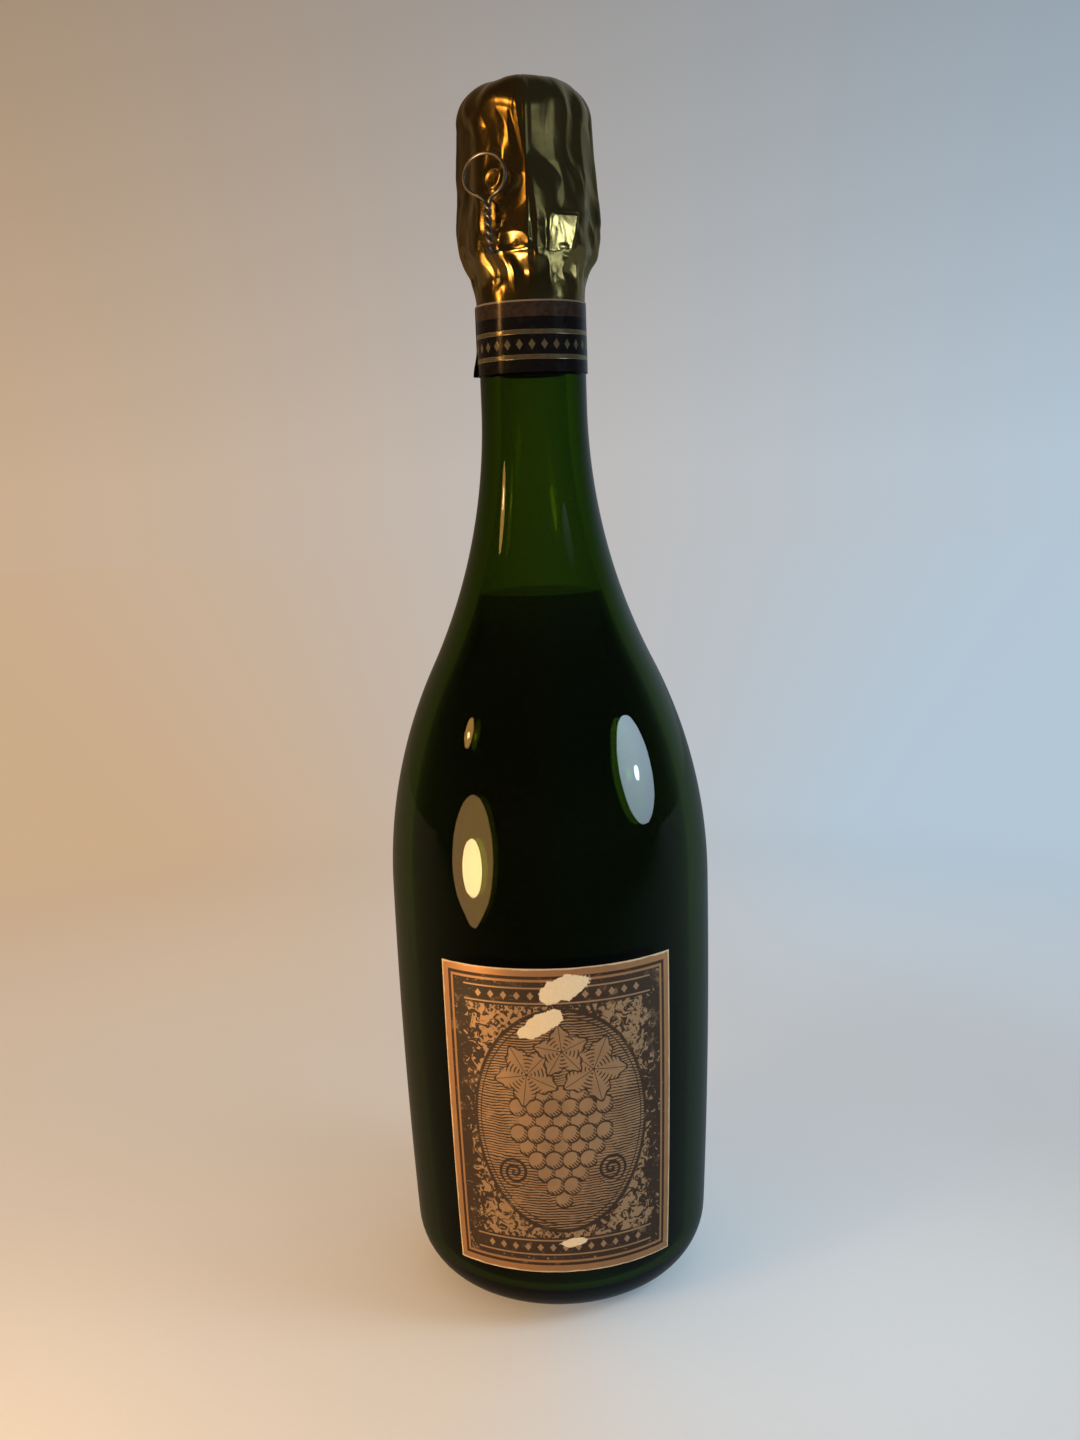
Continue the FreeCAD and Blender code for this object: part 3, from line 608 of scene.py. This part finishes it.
def glass_section():
    body = (BELLY_RADIUS - BODY_CURVE, BELLY_HEIGHT)
    shoulder = (BELLY_RADIUS - SHOULDER_RADIUS, BELLY_HEIGHT)
    drop = BELLY_RADIUS - NECK_RADIUS
    rise = NECK_HEIGHT - BELLY_HEIGHT
    reach = (rise**2 + drop**2) / (2 * drop)
    neck_curve = reach - SHOULDER_RADIUS
    neck = (NECK_RADIUS + neck_curve, NECK_HEIGHT)
    turn = direction(shoulder, neck)
    heel_reach = math.sqrt((BODY_CURVE - HEEL_RADIUS) ** 2 - (BELLY_HEIGHT - HEEL_RADIUS) ** 2)
    heel = (body[0] + heel_reach, HEEL_RADIUS)
    foot_inner = heel[0] - FOOT_WIDTH

    # The punt's cone touches its dome and meets the floor inside the foot
    dome = (0.0, PUNT_MIDDLE)
    slide = math.sqrt(foot_inner**2 + PUNT_MIDDLE**2 - PUNT_ROUND**2)
    cone = direction(dome, (foot_inner, 0.0)) + math.degrees(math.atan2(slide, PUNT_ROUND))
    normal = (math.cos(math.radians(cone)), math.sin(math.radians(cone)))

    # The round at the foot of the inside touches the side wall, and a cone that is the base's wall above
    # the punt's
    inner_reach = BODY_CURVE - WALL - BASE_ROUND
    off_cone = PUNT_ROUND + BASE_WALL + BASE_ROUND
    base = (normal[0] * off_cone, PUNT_MIDDLE + normal[1] * off_cone)
    away = (base[0] - body[0], base[1] - body[1])
    run = away[0] * normal[1] - away[1] * normal[0]
    shift = math.sqrt(run**2 - away[0] ** 2 - away[1] ** 2 + inner_reach**2) - run
    moat = (base[0] + normal[1] * shift, base[1] - normal[0] * shift)

    ring_low = MOUTH - RING_DEPTH
    ring_top = ring_low + RING_HEIGHT
    lip_low = MOUTH - LIP_DEPTH
    outside = [
        *arc(dome, PUNT_ROUND, 90.0, cone),
        (foot_inner, 0.0),
        *arc(heel, HEEL_RADIUS, -90.0, direction(body, heel)),
        *arc(body, BODY_CURVE, direction(body, heel), 0.0)[1:],
        *arc(shoulder, SHOULDER_RADIUS, 0.0, turn)[1:],
        *arc(neck, neck_curve, 180.0 + turn, 180.0)[1:],
        (NECK_RADIUS, ring_low - RING_SLOPE),
        (RING_RADIUS, ring_low),
        (RING_RADIUS, ring_top),
        (GROOVE_RADIUS, ring_top + RING_SLOPE),
        (GROOVE_RADIUS, lip_low - RING_SLOPE),
        (NECK_RADIUS, lip_low),
        *arc((NECK_RADIUS - LIP_ROUND, MOUTH - LIP_ROUND), LIP_ROUND, 0.0, 90.0),
    ]
    inside = [
        *arc((BORE_RADIUS + MOUTH_ROUND, MOUTH - MOUTH_ROUND), MOUTH_ROUND, 90.0, 180.0),
        (BORE_RADIUS, MOUTH - BORE_DEPTH),
        *arc(neck, neck_curve + WALL, 180.0, 180.0 + turn),
        *arc(shoulder, SHOULDER_RADIUS - WALL, turn, 0.0)[1:],
        *arc(body, BODY_CURVE - WALL, 0.0, direction(body, moat))[1:],
        *arc(moat, BASE_ROUND, direction(body, moat), cone - 180.0)[1:],
        *arc(dome, PUNT_ROUND + BASE_WALL, cone, 90.0),
    ]
    return outside + inside


def make_glass():
    section = glass_section()
    mesh = bpy.data.meshes.new("turned_glass")
    vertices = [Vector((0, 0, section[0][1])) * MM, Vector((0, 0, section[-1][1])) * MM]
    for radius, height in section[1:-1]:
        vertices += [at(360.0 * side / GLASS_SIDES, radius, height) for side in range(GLASS_SIDES)]
    faces = []
    rings = len(section) - 2
    for side in range(GLASS_SIDES):
        after = (side + 1) % GLASS_SIDES
        faces.append([0, 2 + after, 2 + side])
        for ring in range(rings - 1):
            low = 2 + ring * GLASS_SIDES
            faces.append([low + side, low + after, low + GLASS_SIDES + after, low + GLASS_SIDES + side])
        last = 2 + (rings - 1) * GLASS_SIDES
        faces.append([1, last + side, last + after])
    mesh.from_pydata(vertices, [], faces)
    mesh.polygons.foreach_set("use_smooth", [True] * len(mesh.polygons))
    mesh.set_sharp_from_angle(angle=math.radians(35.0))
    made = bpy.data.objects.new("turned_glass", mesh)
    piece(made, "bottle", glass_paint(), ["glass_bottle"])


# Foil: a sheet drawn over the cap, the cage's four twisted legs and the ring, and down the neck

HOOD_LOW, HOOD_TOP = heights("foil_hood")
SKIRT_LOW, SKIRT_TOP = heights("foil_skirt")
TEAR_LINE = (HOOD_LOW + SKIRT_TOP) / 2
TEAR_HALF = 0.01
FOIL_THICKNESS = 0.12
LOOP_ANGLE = -30.0
LOOP_LOW, LOOP_TOP = heights("wire_loop")
LOOP_RING = 5.6
WIRE_RADIUS = 0.5
BELT = heights("wire_belt")[0] + 1.0

# The top's flat middle, and its rounded edge between the legs and over them
HEAD_FLAT = 7.9
FLAT_DROP = 0.25
FLAT_CROWN = 0.1
EDGE_ROUND = 7.6
EDGE_DROP = 0.45
EDGE_FOOT = HOOD_TOP - EDGE_DROP - EDGE_ROUND
LEG_ROUND = 9.85
LEG_DROP = 0.3
LEG_FOOT = HOOD_TOP - LEG_DROP - LEG_ROUND

# The share of the way over the top, from its middle to its side, where the edge begins to turn down
FLAT_SHARE = 0.6

# The foil is held to the neck below the first of these heights and is loose above the second
HELD = 276.0
LOOSE = 283.0

# Where the foil is drawn in over the ring, where it is pleated, and how many pleats go round
DRAWN_IN = 292.0
PLEATED = 282.5
PLEATS = 20

# The fold over the front leg slants across it, up to this height, and the folds over the others slant less
FRONT_SLANT = 6.5
SLANT_TOP = 328.0
SIDE_SLANT = 1.5

# Heights and the sheet's radii there, from the rounded edge down: between the legs and over them
BETWEEN_LEGS = (
    (EDGE_FOOT, HEAD_FLAT + EDGE_ROUND),
    (312.0, 15.9),
    (299.0, 16.9),
    (292.0, 17.3),
    (288.5, 17.0),
    (285.0, 16.1),
    (282.0, 15.2),
    (279.0, 14.8),
    (HELD, 14.62),
    (SKIRT_LOW, 14.6),
)
OVER_LEGS = (
    (LEG_FOOT, HEAD_FLAT + LEG_ROUND),
    (313.0, 18.15),
    (302.0, 18.7),
    (295.0, 19.05),
    (291.0, 18.7),
    (288.5, 18.2),
    (286.5, 17.5),
    (284.5, 16.4),
    (282.0, 15.4),
    (279.0, 14.85),
    (HELD, 14.62),
    (SKIRT_LOW, 14.6),
)


def table(rows, height):
    """Reads a list of heights and values, from the top down, along a smooth curve through them."""

    def slope(row):
        (top, first), (bottom, second) = rows[max(row - 1, 0)], rows[min(row + 1, len(rows) - 1)]
        return (second - first) / (bottom - top)

    height = min(max(height, rows[-1][0]), rows[0][0])
    row = next(row for row in range(len(rows) - 1) if height >= rows[row + 1][0])
    (top, first), (bottom, second) = rows[row], rows[row + 1]
    step = bottom - top
    share = (height - top) / step
    bend = slope(row) * step * (1 - share) - slope(row + 1) * step * share
    bend -= (second - first) * (1 - 2 * share)
    return blend(first, second, share) + share * (1 - share) * bend


def drawn_out(angle, height):
    """The sheet's radius, which runs from leg to leg in flat panes that touch the round between them."""
    radius = table(BETWEEN_LEGS, height)
    reach = table(OVER_LEGS, height)
    half = math.degrees(math.acos(radius / max(reach, radius)))
    aside = 0.0
    for leg in range(4):
        lean = between(angle, 90.0 * leg)
        slant = SIDE_SLANT * math.sin(leg * 2.0)
        if leg == 0:
            slant = blend(FRONT_SLANT, -FRONT_SLANT, ease(height, DRAWN_IN, SLANT_TOP))
        aside = max(aside, half - abs(lean), half - abs(lean - slant))
    return radius / math.cos(math.radians(aside))


def over_leg(angle):
    """1 over a leg at the top and 0 between the legs."""
    start = HEAD_FLAT + EDGE_ROUND
    return (drawn_out(angle, EDGE_FOOT) - start) / (table(OVER_LEGS, EDGE_FOOT) - start)


def crease(point, across, along, soft):
    """Peaks at about 1 along lines, which are that far apart across and along the bottle."""
    value = noise.noise(Vector((point.x / across, point.y / across, point.z / along)) / MM)
    return 1.0 - 2.2 * math.hypot(value, soft)


FACETS_ROUND = 24
FACET_HEIGHT = 7.5


def facets(angle, level, warp):
    """Random heights at the corners of a warped net of triangles, with flat faces between them."""
    across = angle / 360.0 * FACETS_ROUND + 0.8 * warp
    up = level / FACET_HEIGHT + 0.9 * warp
    column, row = math.floor(across), math.floor(up)
    beside, above = across - column, up - row

    def corner(right, top):
        return noise.cell(Vector(((column + right) % FACETS_ROUND + 0.5, row + top + 0.5, 0.5)))

    if beside + above < 1.0:
        return blend(corner(0, 0), corner(1, 0), beside) + above * (corner(0, 1) - corner(0, 0))
    floor_glow = blend(corner(1, 1), corner(0, 1), 1.0 - beside)
    return floor_glow + (1.0 - above) * (corner(1, 0) - corner(1, 1))


# One pane low on the hood's right is pressed flat: where it is, its half sizes, the width of its rim, how
# far it lies from the bottle's axis, how far it leans out and sideways for each millimetre up, and how much
# of the crumpling is left in it
PANE_ANGLE = 32.0
PANE_HEIGHT = 292.2
PANE_HALF_WIDTH = 3.6
PANE_HALF_HEIGHT = 4.2
PANE_SIDE_RIM = 1.0
PANE_END_RIM = 1.2
PANE_DISTANCE = 17.05
PANE_LEAN = 0.085
PANE_SKEW = 0.2
PANE_CRUMPLE = 0.25


def pressed(offset, angle, radius, level):
    """The foil's offset from its drawn-out radius, nearly flat within the pane."""
    turn = math.radians(between(angle, PANE_ANGLE))
    above = level - PANE_HEIGHT
    aside = abs(turn * radius - PANE_SKEW * above)
    within = ease(aside, PANE_HALF_WIDTH + PANE_SIDE_RIM, PANE_HALF_WIDTH)
    within *= ease(abs(above), PANE_HALF_HEIGHT + PANE_END_RIM, PANE_HALF_HEIGHT)
    pane = PANE_DISTANCE / math.cos(min(abs(turn), 1.0)) + PANE_LEAN * above - radius
    return blend(offset, pane + PANE_CRUMPLE * offset, within)


# How deep the foil's folds, creases, facets and pleats are, and how far it stands out over the belt and at
# the loop
FOLD = 0.8
SIDE_CREASE = 0.4
TOP_CREASE = 0.3
DRAWN_CREASE = 0.6
FACET = 0.45
PLEAT = 0.4
BELT_MARK = 0.4
LOOP_BULGE = 1.3
LOOP_MARK = 0.22


def smooth_foil(angle, height, top_share):
    """The radius and height of a point of the sheet before it is crumpled, and the way it faces."""
    if top_share < FLAT_SHARE:
        out = top_share / FLAT_SHARE
        return HEAD_FLAT * out, HOOD_TOP - FLAT_DROP - FLAT_CROWN * out * out, (0.0, 1.0)
    if top_share < 1.0:
        turn = math.radians(90.0 * (top_share - FLAT_SHARE) / (1.0 - FLAT_SHARE))
        normal = (math.sin(turn), math.cos(turn))
        share = over_leg(angle)
        edge = blend(EDGE_ROUND, LEG_ROUND, share)
        return HEAD_FLAT + edge * normal[0], blend(EDGE_FOOT, LEG_FOOT, share) + edge * normal[1], normal
    return drawn_out(angle, height), height, (1.0, 0.0)


def foil_point(angle, height, top_share=1.0):
    """A point of the foil. On the top, top_share is the share of the way from its middle to its side."""
    radius, level, normal = smooth_foil(angle, height, top_share)
    flat = at(angle, radius, level)

    # Loose folds run down the sides, and the sheet is crumpled where it is drawn in
    free = ease(level, HELD, LOOSE)
    folds = noise.noise(Vector((flat.x * 150, flat.y * 150, flat.z * 45)))
    offset = FOLD * folds * free * ease(top_share, 0.3, 1.0)
    offset += SIDE_CREASE * (crease(flat, 8.0, 17.0, 0.03) - 0.3) * free
    crumpled = blend(0.35 * ease(top_share, 0.05, 0.5), 1.0, ease(top_share, FLAT_SHARE, 1.0))
    offset += FACET * facets(angle, level, noise.noise(flat * 90)) * free * crumpled
    offset += TOP_CREASE * crease(flat, 9.0, 9.0, 0.03) * ease(top_share, 0.9, 0.4)
    offset += DRAWN_CREASE * (crease(flat, 7.0, 9.0, 0.02) - 0.4) * hump(level, DRAWN_IN, 6.0)

    # The belt's wire shows through beside the loop, and the sheet is pleated below it
    offset += BELT_MARK * hump(level, BELT, 0.7) * hump(between(angle, -11.0), 0.0, 17.0)
    pleat = abs(math.sin(math.radians(angle * PLEATS / 2) + 3.0 * noise.noise(flat * 110)))
    offset += PLEAT * (0.6 - pleat) * hump(level, PLEATED, 3.2)

    # It bulges towards the loop, whose ring has marked it
    beside = math.radians(between(angle, LOOP_ANGLE)) * radius
    above = level - (LOOP_TOP - LOOP_RING - WIRE_RADIUS)
    offset += LOOP_BULGE * hump(beside, 0.0, 5.0) * hump(above, -2.0, 9.0) * ease(top_share, 0.9, 1.0)
    offset += LOOP_MARK * hump(math.hypot(beside, above), 2.3, 0.7)

    offset = pressed(offset, angle, radius, level)

    # It lies taut over the legs and the belt, and close to the neck where it is held
    taut = ease(over_leg(angle), 0.4, 0.8) * ease(level, 284.0, 287.0)
    offset = max(offset, -blend(0.7, 0.2, hump(level, BELT, 2.5)) * (1.0 - taut))
    if level < HELD + 0.5:
        offset = min(offset, 0.0) * ease(level, HELD - 0.5, HELD + 0.5)
    return at(angle, radius + offset * normal[0], min(level + offset * normal[1], HOOD_TOP - 0.02))


# The share of the hood's rows that are on its top, and how closely the skirt's rows crowd to the tear line
TOP_ROWS = 0.34
SKIRT_CROWDING = 1.25


def hood_point(down, round_share):
    angle = 360.0 * round_share
    if down < TOP_ROWS:
        return foil_point(angle, HOOD_TOP, down / TOP_ROWS)
    start = blend(EDGE_FOOT, LEG_FOOT, over_leg(angle))
    return foil_point(angle, blend(start, TEAR_LINE + TEAR_HALF, (down - TOP_ROWS) / (1 - TOP_ROWS)))


def skirt_point(down, round_share):
    return foil_point(360.0 * round_share, blend(TEAR_LINE - TEAR_HALF, SKIRT_LOW, down**SKIRT_CROWDING))


# Collar: a strip wound once round the neck, whose outer end has come loose at its lower corner

COLLAR_START = -97.0
COLLAR_TURN = 366.0
COLLAR_THICKNESS = 0.16
COLLAR_LAP = 0.22
COLLAR_WAVE = 0.05
CORNER_LIFT = 1.1


def collar_point(down, round_share):
    angle = COLLAR_START + COLLAR_TURN * round_share
    left = COLLAR_TURN * (1 - round_share)
    height = blend(COLLAR_TOP, COLLAR_LOW, down)
    radius = COLLAR_RADIUS + COLLAR_LAP * ease(left, 9.0, 5.0)
    radius += CORNER_LIFT * ease(left, 14.0, 0.0) * ease(down, 0.6, 1.0)
    radius += COLLAR_WAVE * noise.noise(Vector((angle * 0.06, height * 0.12, 4.0)))
    return at(angle, radius, height)


# Label: a sheet that follows the curve of the belly, with small nicks in its upper and lower edges

LABEL_STANDS = 0.25
LABEL_THICKNESS = 0.18
LABEL_NICK = 0.12


def label_point(down, across):
    height = blend(LABEL_TOP, LABEL_LOW, down)
    angle = LABEL_TURN + LABEL_SWEEP * (across - 0.5)
    sag = BODY_CURVE - math.sqrt(BODY_CURVE**2 - (height - BELLY_HEIGHT) ** 2)
    nick = LABEL_NICK * noise.noise(Vector((down * 40, across * 30, 0.0)))
    if down in (0.0, 1.0):
        height += nick if down else -abs(nick)
    return at(angle, BELLY_RADIUS - sag + LABEL_STANDS, max(height, LABEL_LOW))


# Rows and columns of points in each sheet
HOOD_ROWS = 150
SKIRT_ROWS = 84
FOIL_COLUMNS = 320
COLLAR_ROWS = 24
COLLAR_COLUMNS = 240
LABEL_ROWS = 90
LABEL_COLUMNS = 70


def make_sheets():
    foil = foil_paint()
    mesh = sheet_mesh("foil_hood_sheet", HOOD_ROWS, FOIL_COLUMNS, hood_point, wraps=True, pole=True)
    hood = bpy.data.objects.new("foil_hood_sheet", mesh)
    piece(hood, "foil", foil, ["foil_hood"])
    thicken(hood, FOIL_THICKNESS)
    mesh = sheet_mesh("foil_skirt_sheet", SKIRT_ROWS, FOIL_COLUMNS, skirt_point, wraps=True)
    skirt = bpy.data.objects.new("foil_skirt_sheet", mesh)
    piece(skirt, "bottle", foil, ["foil_skirt"])
    thicken(skirt, FOIL_THICKNESS)
    mesh = sheet_mesh("collar_strip", COLLAR_ROWS, COLLAR_COLUMNS, collar_point)
    collar = bpy.data.objects.new("collar_strip", mesh)
    piece(collar, "bottle", collar_paint(), ["neck_collar"])
    thicken(collar, COLLAR_THICKNESS)
    mesh = sheet_mesh("label_sheet", LABEL_ROWS, LABEL_COLUMNS, label_point)
    layer = mesh.uv_layers.new(name="flat")
    for loop in mesh.loops:
        row, column = divmod(loop.vertex_index, LABEL_COLUMNS + 1)
        layer.data[loop.index].uv = (column / LABEL_COLUMNS, 1 - row / LABEL_ROWS)
    label = bpy.data.objects.new("label_sheet", mesh)
    piece(label, "bottle", label_paint(), ["front_label"])
    thicken(label, LABEL_THICKNESS)


# Wire: smooth curves with a round section

TWIST_RADIUS = 0.55


def wire_piece(name, points, body, nodes, material):
    curve = bpy.data.curves.new(name, "CURVE")
    curve.dimensions = "3D"
    curve.bevel_depth = WIRE_RADIUS * MM
    curve.bevel_resolution = 4
    curve.resolution_u = 6
    curve.use_fill_caps = True
    spline = curve.splines.new("BEZIER")
    spline.bezier_points.add(len(points) - 1)
    for knot, point in zip(spline.bezier_points, points):
        knot.co = point
        knot.handle_left_type = "AUTO"
        knot.handle_right_type = "AUTO"
    return piece(bpy.data.objects.new(name, curve), body, material, nodes)


LOOP_ROOT_RADIUS = 20.04
LOOP_LEAN_OUT = 0.017
LOOP_RING_ACROSS = 6.2
LOOP_RING_ASIDE = -0.5
LOOP_NECK = 0.6
LOOP_HALF_TURNS = 5
LOOP_KNOTS = 15

# The ring is open over this angle to either side of its foot, and narrows over the second one
LOOP_OPEN = 22.0
LOOP_NARROWS = 40.0


def make_loop(material):
    """The loop: up one strand of the twisted stem, round the ring and down the other strand."""
    root = at(LOOP_ANGLE, LOOP_ROOT_RADIUS, LOOP_LOW)
    out = at(LOOP_ANGLE, 1.0, 0.0)
    side = at(LOOP_ANGLE + 90.0, 1.0, 0.0)
    rise = Vector((0, 0, 1)) * MM + out * LOOP_LEAN_OUT
    ring_middle = LOOP_TOP - LOOP_LOW - LOOP_RING - WIRE_RADIUS
    stem_low = WIRE_RADIUS + 0.1
    stem_top = ring_middle - LOOP_RING - LOOP_NECK

    def strand(start):
        steps = LOOP_HALF_TURNS * 4
        for step in range(steps + 1):
            turn = start + math.pi * LOOP_HALF_TURNS * step / steps
            up = blend(stem_low, stem_top, step / steps)
            yield root + rise * up + (side * math.cos(turn) + out * math.sin(turn)) * TWIST_RADIUS

    # After an odd number of half turns the first strand is on the ring's far side
    ring = []
    for knot in range(LOOP_KNOTS):
        degrees = blend(360.0 - LOOP_OPEN, LOOP_OPEN, knot / (LOOP_KNOTS - 1))
        turn = math.radians(degrees)
        low = hump(degrees, 0.0, LOOP_NARROWS) + hump(degrees, 360.0, LOOP_NARROWS)
        across = LOOP_RING_ACROSS * math.sin(turn) * (1.0 - 0.1 * low) + LOOP_RING_ASIDE * (1.0 - low)
        drop = LOOP_RING * math.cos(turn) * (0.9 if math.cos(turn) > 0 else 1.0)
        ring.append(root + rise * (ring_middle - drop) + side * across)
    points = [*strand(0.0), *ring, *reversed(list(strand(math.pi)))]
    return wire_piece("loop_wire", points, "loop", ["wire_loop"], material)


# Setting: a pale floor that fades into a pale room, warm to the left and cool to the right

FLOOR_RADII = (150.0, 400.0, 900.0, 1800.0, 4000.0)
FLOOR_SIDES = 96
WARM_PALE = (0.60, 0.41, 0.25)
COOL_PALE = (0.45, 0.57, 0.68)


def room_colour(tree, toward_right):
    """The room's colour in a direction, which is -1 to the left and 1 to the right."""
    mix = tree.nodes.new("ShaderNodeMix")
    mix.data_type = "RGBA"
    feed(tree, toward_right.ramp(-0.5, 0.5), mix.inputs["Factor"])
    feed(tree, (*WARM_PALE, 1.0), mix.inputs[6])
    feed(tree, (*COOL_PALE, 1.0), mix.inputs[7])
    return mix.outputs[2]


def rays(tree):
    """Three fields: 1 for rays from the camera, for those through glass and for those off a gloss."""
    path = tree.nodes.new("ShaderNodeLightPath").outputs
    through = Field(tree, path["Is Transmission Ray"])
    glossy = Field(tree, path["Is Glossy Ray"]).without(through)
    return Field(tree, path["Is Camera Ray"]), through, glossy


def make_floor():
    mesh = bpy.data.meshes.new("floor")
    vertices = []
    for radius in FLOOR_RADII:
        vertices += [at(360.0 * side / FLOOR_SIDES, radius, 0.0) for side in range(FLOOR_SIDES)]
    faces = [list(range(FLOOR_SIDES))]
    for ring in range(len(FLOOR_RADII) - 1):
        for side in range(FLOOR_SIDES):
            inner, outer = ring * FLOOR_SIDES, (ring + 1) * FLOOR_SIDES
            after = (side + 1) % FLOOR_SIDES
            faces.append([inner + side, outer + side, outer + after, inner + after])
    mesh.from_pydata(vertices, [], faces)
    floor = bpy.data.objects.new("floor", mesh)
    bpy.context.scene.collection.objects.link(floor)
    paint = Paint("pale_floor", roughness=0.85)
    cloud = paint.noise(120.0, detail=3.0)
    fibre = paint.noise(2.0, detail=3.0)
    pale = paint.mix(cloud * 0.6 + fibre * 0.3, (0.74, 0.71, 0.68), (0.84, 0.82, 0.79))
    paint.set("Base Color", pale)
    paint.bump(cloud + fibre * 0.05, 1.0, 0.15)

    # Away from the bottle the floor fades into the room. Near it, it keeps its light and its shadow, with a
    # painted glow over them that is brightest next to the bottle.
    x, y, _ = paint.split(paint.place)
    away = length(x, y)
    floor_glow = paint.tree.nodes.new("ShaderNodeEmission")
    paint.tree.links.new(room_colour(paint.tree, x / away), floor_glow.inputs["Color"])
    fade = paint.tree.nodes.new("ShaderNodeMixShader")
    camera, through, glossy = rays(paint.tree)
    distance = away.ramp(0.1, 0.5)
    # Painted light: through the glass the floor shows only its glow, dimmer next to the bottle as a painted
    # shadow, and in gloss it shows dim, dimmest in front, as painted shade.
    strength = camera * (-distance * 0.5 + 1.5) + through * (distance * 0.5 + 0.5)
    feed(paint.tree, strength + glossy * (y.ramp(-0.4, 0.1) * 0.2 + 0.04), floor_glow.inputs["Strength"])
    share = camera * (away.ramp(0.08, 0.6) * 0.8 + 0.2)
    feed(paint.tree, share.higher(through).higher(glossy), fade.inputs[0])
    paint.tree.links.new(paint.shader.outputs[0], fade.inputs[1])
    paint.tree.links.new(floor_glow.outputs[0], fade.inputs[2])
    paint.tree.links.new(fade.outputs[0], paint.output.inputs["Surface"])
    mesh.materials.append(paint.material)


def make_room():
    """A pale room, darker higher up. Gloss shows it dim, most of all in front, where the lamps are."""
    world = bpy.data.worlds.new("room")
    world.use_nodes = True
    tree = world.node_tree
    split = tree.nodes.new("ShaderNodeSeparateXYZ")
    tree.links.new(tree.nodes.new("ShaderNodeTexCoord").outputs["Generated"], split.inputs[0])
    x, y, z = (Field(tree, out) for out in split.outputs)
    background = tree.nodes["Background"]
    tree.links.new(room_colour(tree, x), background.inputs["Color"])
    in_mirrors = y.ramp(0.15, 0.9) * (x.ramp(-0.7, 0.7) * 0.2 + 0.15) + 0.05
    camera, through, glossy = rays(tree)
    direct = -(z.higher(0.0).lower(0.4)) * camera.higher(through) * 1.2 + 1.0
    feed(tree, direct.without(glossy) + in_mirrors * glossy, background.inputs["Strength"])
    bpy.context.scene.world = world


def lamp(name, place, aim, diameter, power, colour, spread=180.0):
    """A round lamp, with its power in watts and the angle over which it shines."""
    light = bpy.data.lights.new(name, "AREA")
    light.shape = "DISK"
    light.size = diameter * MM
    light.energy = power
    light.color = colour
    light.spread = math.radians(spread)
    made = bpy.data.objects.new(name, light)
    made.location = Vector(place) * MM
    made.rotation_euler = (Vector(aim) * MM - made.location).to_track_quat("-Z", "Y").to_euler()
    bpy.context.scene.collection.objects.link(made)


WARM = (1.0, 0.65, 0.29)
SHADE = (1.0, 0.56, 0.19)
AMBER = (1.0, 0.5, 0.12)
COOL = (0.63, 0.84, 1.0)


def make_lamps():
    """Shaded lamps low and high on the left, one on the right, and three narrow ones on the foil."""
    belly_left = (-20, -40, 131)
    lamp("warm_lamp", (-269, -204, 98), belly_left, 87, 0.46, WARM)
    lamp("warm_shade", (-275, -208, 112), belly_left, 190, 0.28, SHADE)
    shoulder_left = (-20, -31, 165)
    lamp("warm_high_lamp", (-416, -163, 334), shoulder_left, 62, 0.06, AMBER)
    lamp("warm_high_core", (-410, -161, 326), shoulder_left, 15, 0.02, WARM)
    belly_right = (24, -33, 80)
    lamp("cool_lamp", (213, -85, 192), belly_right, 118, 0.1, COOL, 104.0)
    lamp("cool_core", (208, -84, 191), belly_right, 16, 0.008, COOL, 104.0)
    lamp("cool_head_lamp", (300, -150, 302), (8, -17, 310), 50, 0.0003, COOL, 9.0)
    lamp("cool_head_fill", (250, -200, 370), (6, -16, 315), 120, 0.0005, COOL, 30.0)
    lamp("warm_head_lamp", (-300, -150, 430), (-8, -17, 310), 80, 0.0011, AMBER, 16.0)


# Camera: in front of the bottle, looking down at it, and rolled a little

CAMERA_DISTANCE = 400.3
CAMERA_HEIGHT = 231.5
CAMERA_PITCH = 9.80
CAMERA_ROLL = 2.02
CAMERA_YAW = 0.203
FOCAL_LENGTH = 35.93


def make_camera():
    data = bpy.data.cameras.new("camera")
    data.sensor_fit = "VERTICAL"
    data.sensor_height = 36.0
    data.lens = FOCAL_LENGTH
    data.clip_start = 0.01
    made = bpy.data.objects.new("camera", data)
    made.location = Vector((0, -CAMERA_DISTANCE, CAMERA_HEIGHT)) * MM
    made.rotation_mode = "XYZ"
    aim = Vector((-math.sin(math.radians(CAMERA_YAW)), math.cos(math.radians(CAMERA_YAW)), 0.0))
    aim.z = -math.tan(math.radians(CAMERA_PITCH))
    level = aim.to_track_quat("-Z", "Y").to_matrix()
    roll = math.radians(CAMERA_ROLL)
    right = level.col[0] * math.cos(roll) - level.col[1] * math.sin(roll)
    above = level.col[1] * math.cos(roll) + level.col[0] * math.sin(roll)
    back = level.col[2]
    turned = level.copy()
    for axis, column in enumerate((right, above, back)):
        for row in range(3):
            turned[row][axis] = column[row]
    made.rotation_euler = turned.to_euler()
    bpy.context.scene.collection.objects.link(made)
    bpy.context.scene.camera = made


def dress(node, material):
    """Gives a CAD node its material."""
    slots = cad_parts[node].data.materials
    slots.clear()
    slots.append(material)


make_camera()
make_floor()
make_room()
make_lamps()
make_sheets()
steel = steel_paint()
make_loop(steel)
make_glass()
dress("wine", wine_paint())
dress("wire_cage", steel)
dress("wire_belt", steel)
dress("metal_cap", cap_paint())
dress("cork_body", cork_paint("agglomerated_cork", (0.62, 0.42, 0.25), (0.45, 0.28, 0.15), 2.2))
natural = cork_paint("natural_cork", (0.66, 0.45, 0.27), (0.52, 0.33, 0.18), 4.0)
dress("cork_disc_upper", natural)
dress("cork_disc_lower", natural)

bpy.context.scene.view_settings.view_transform = "Standard"
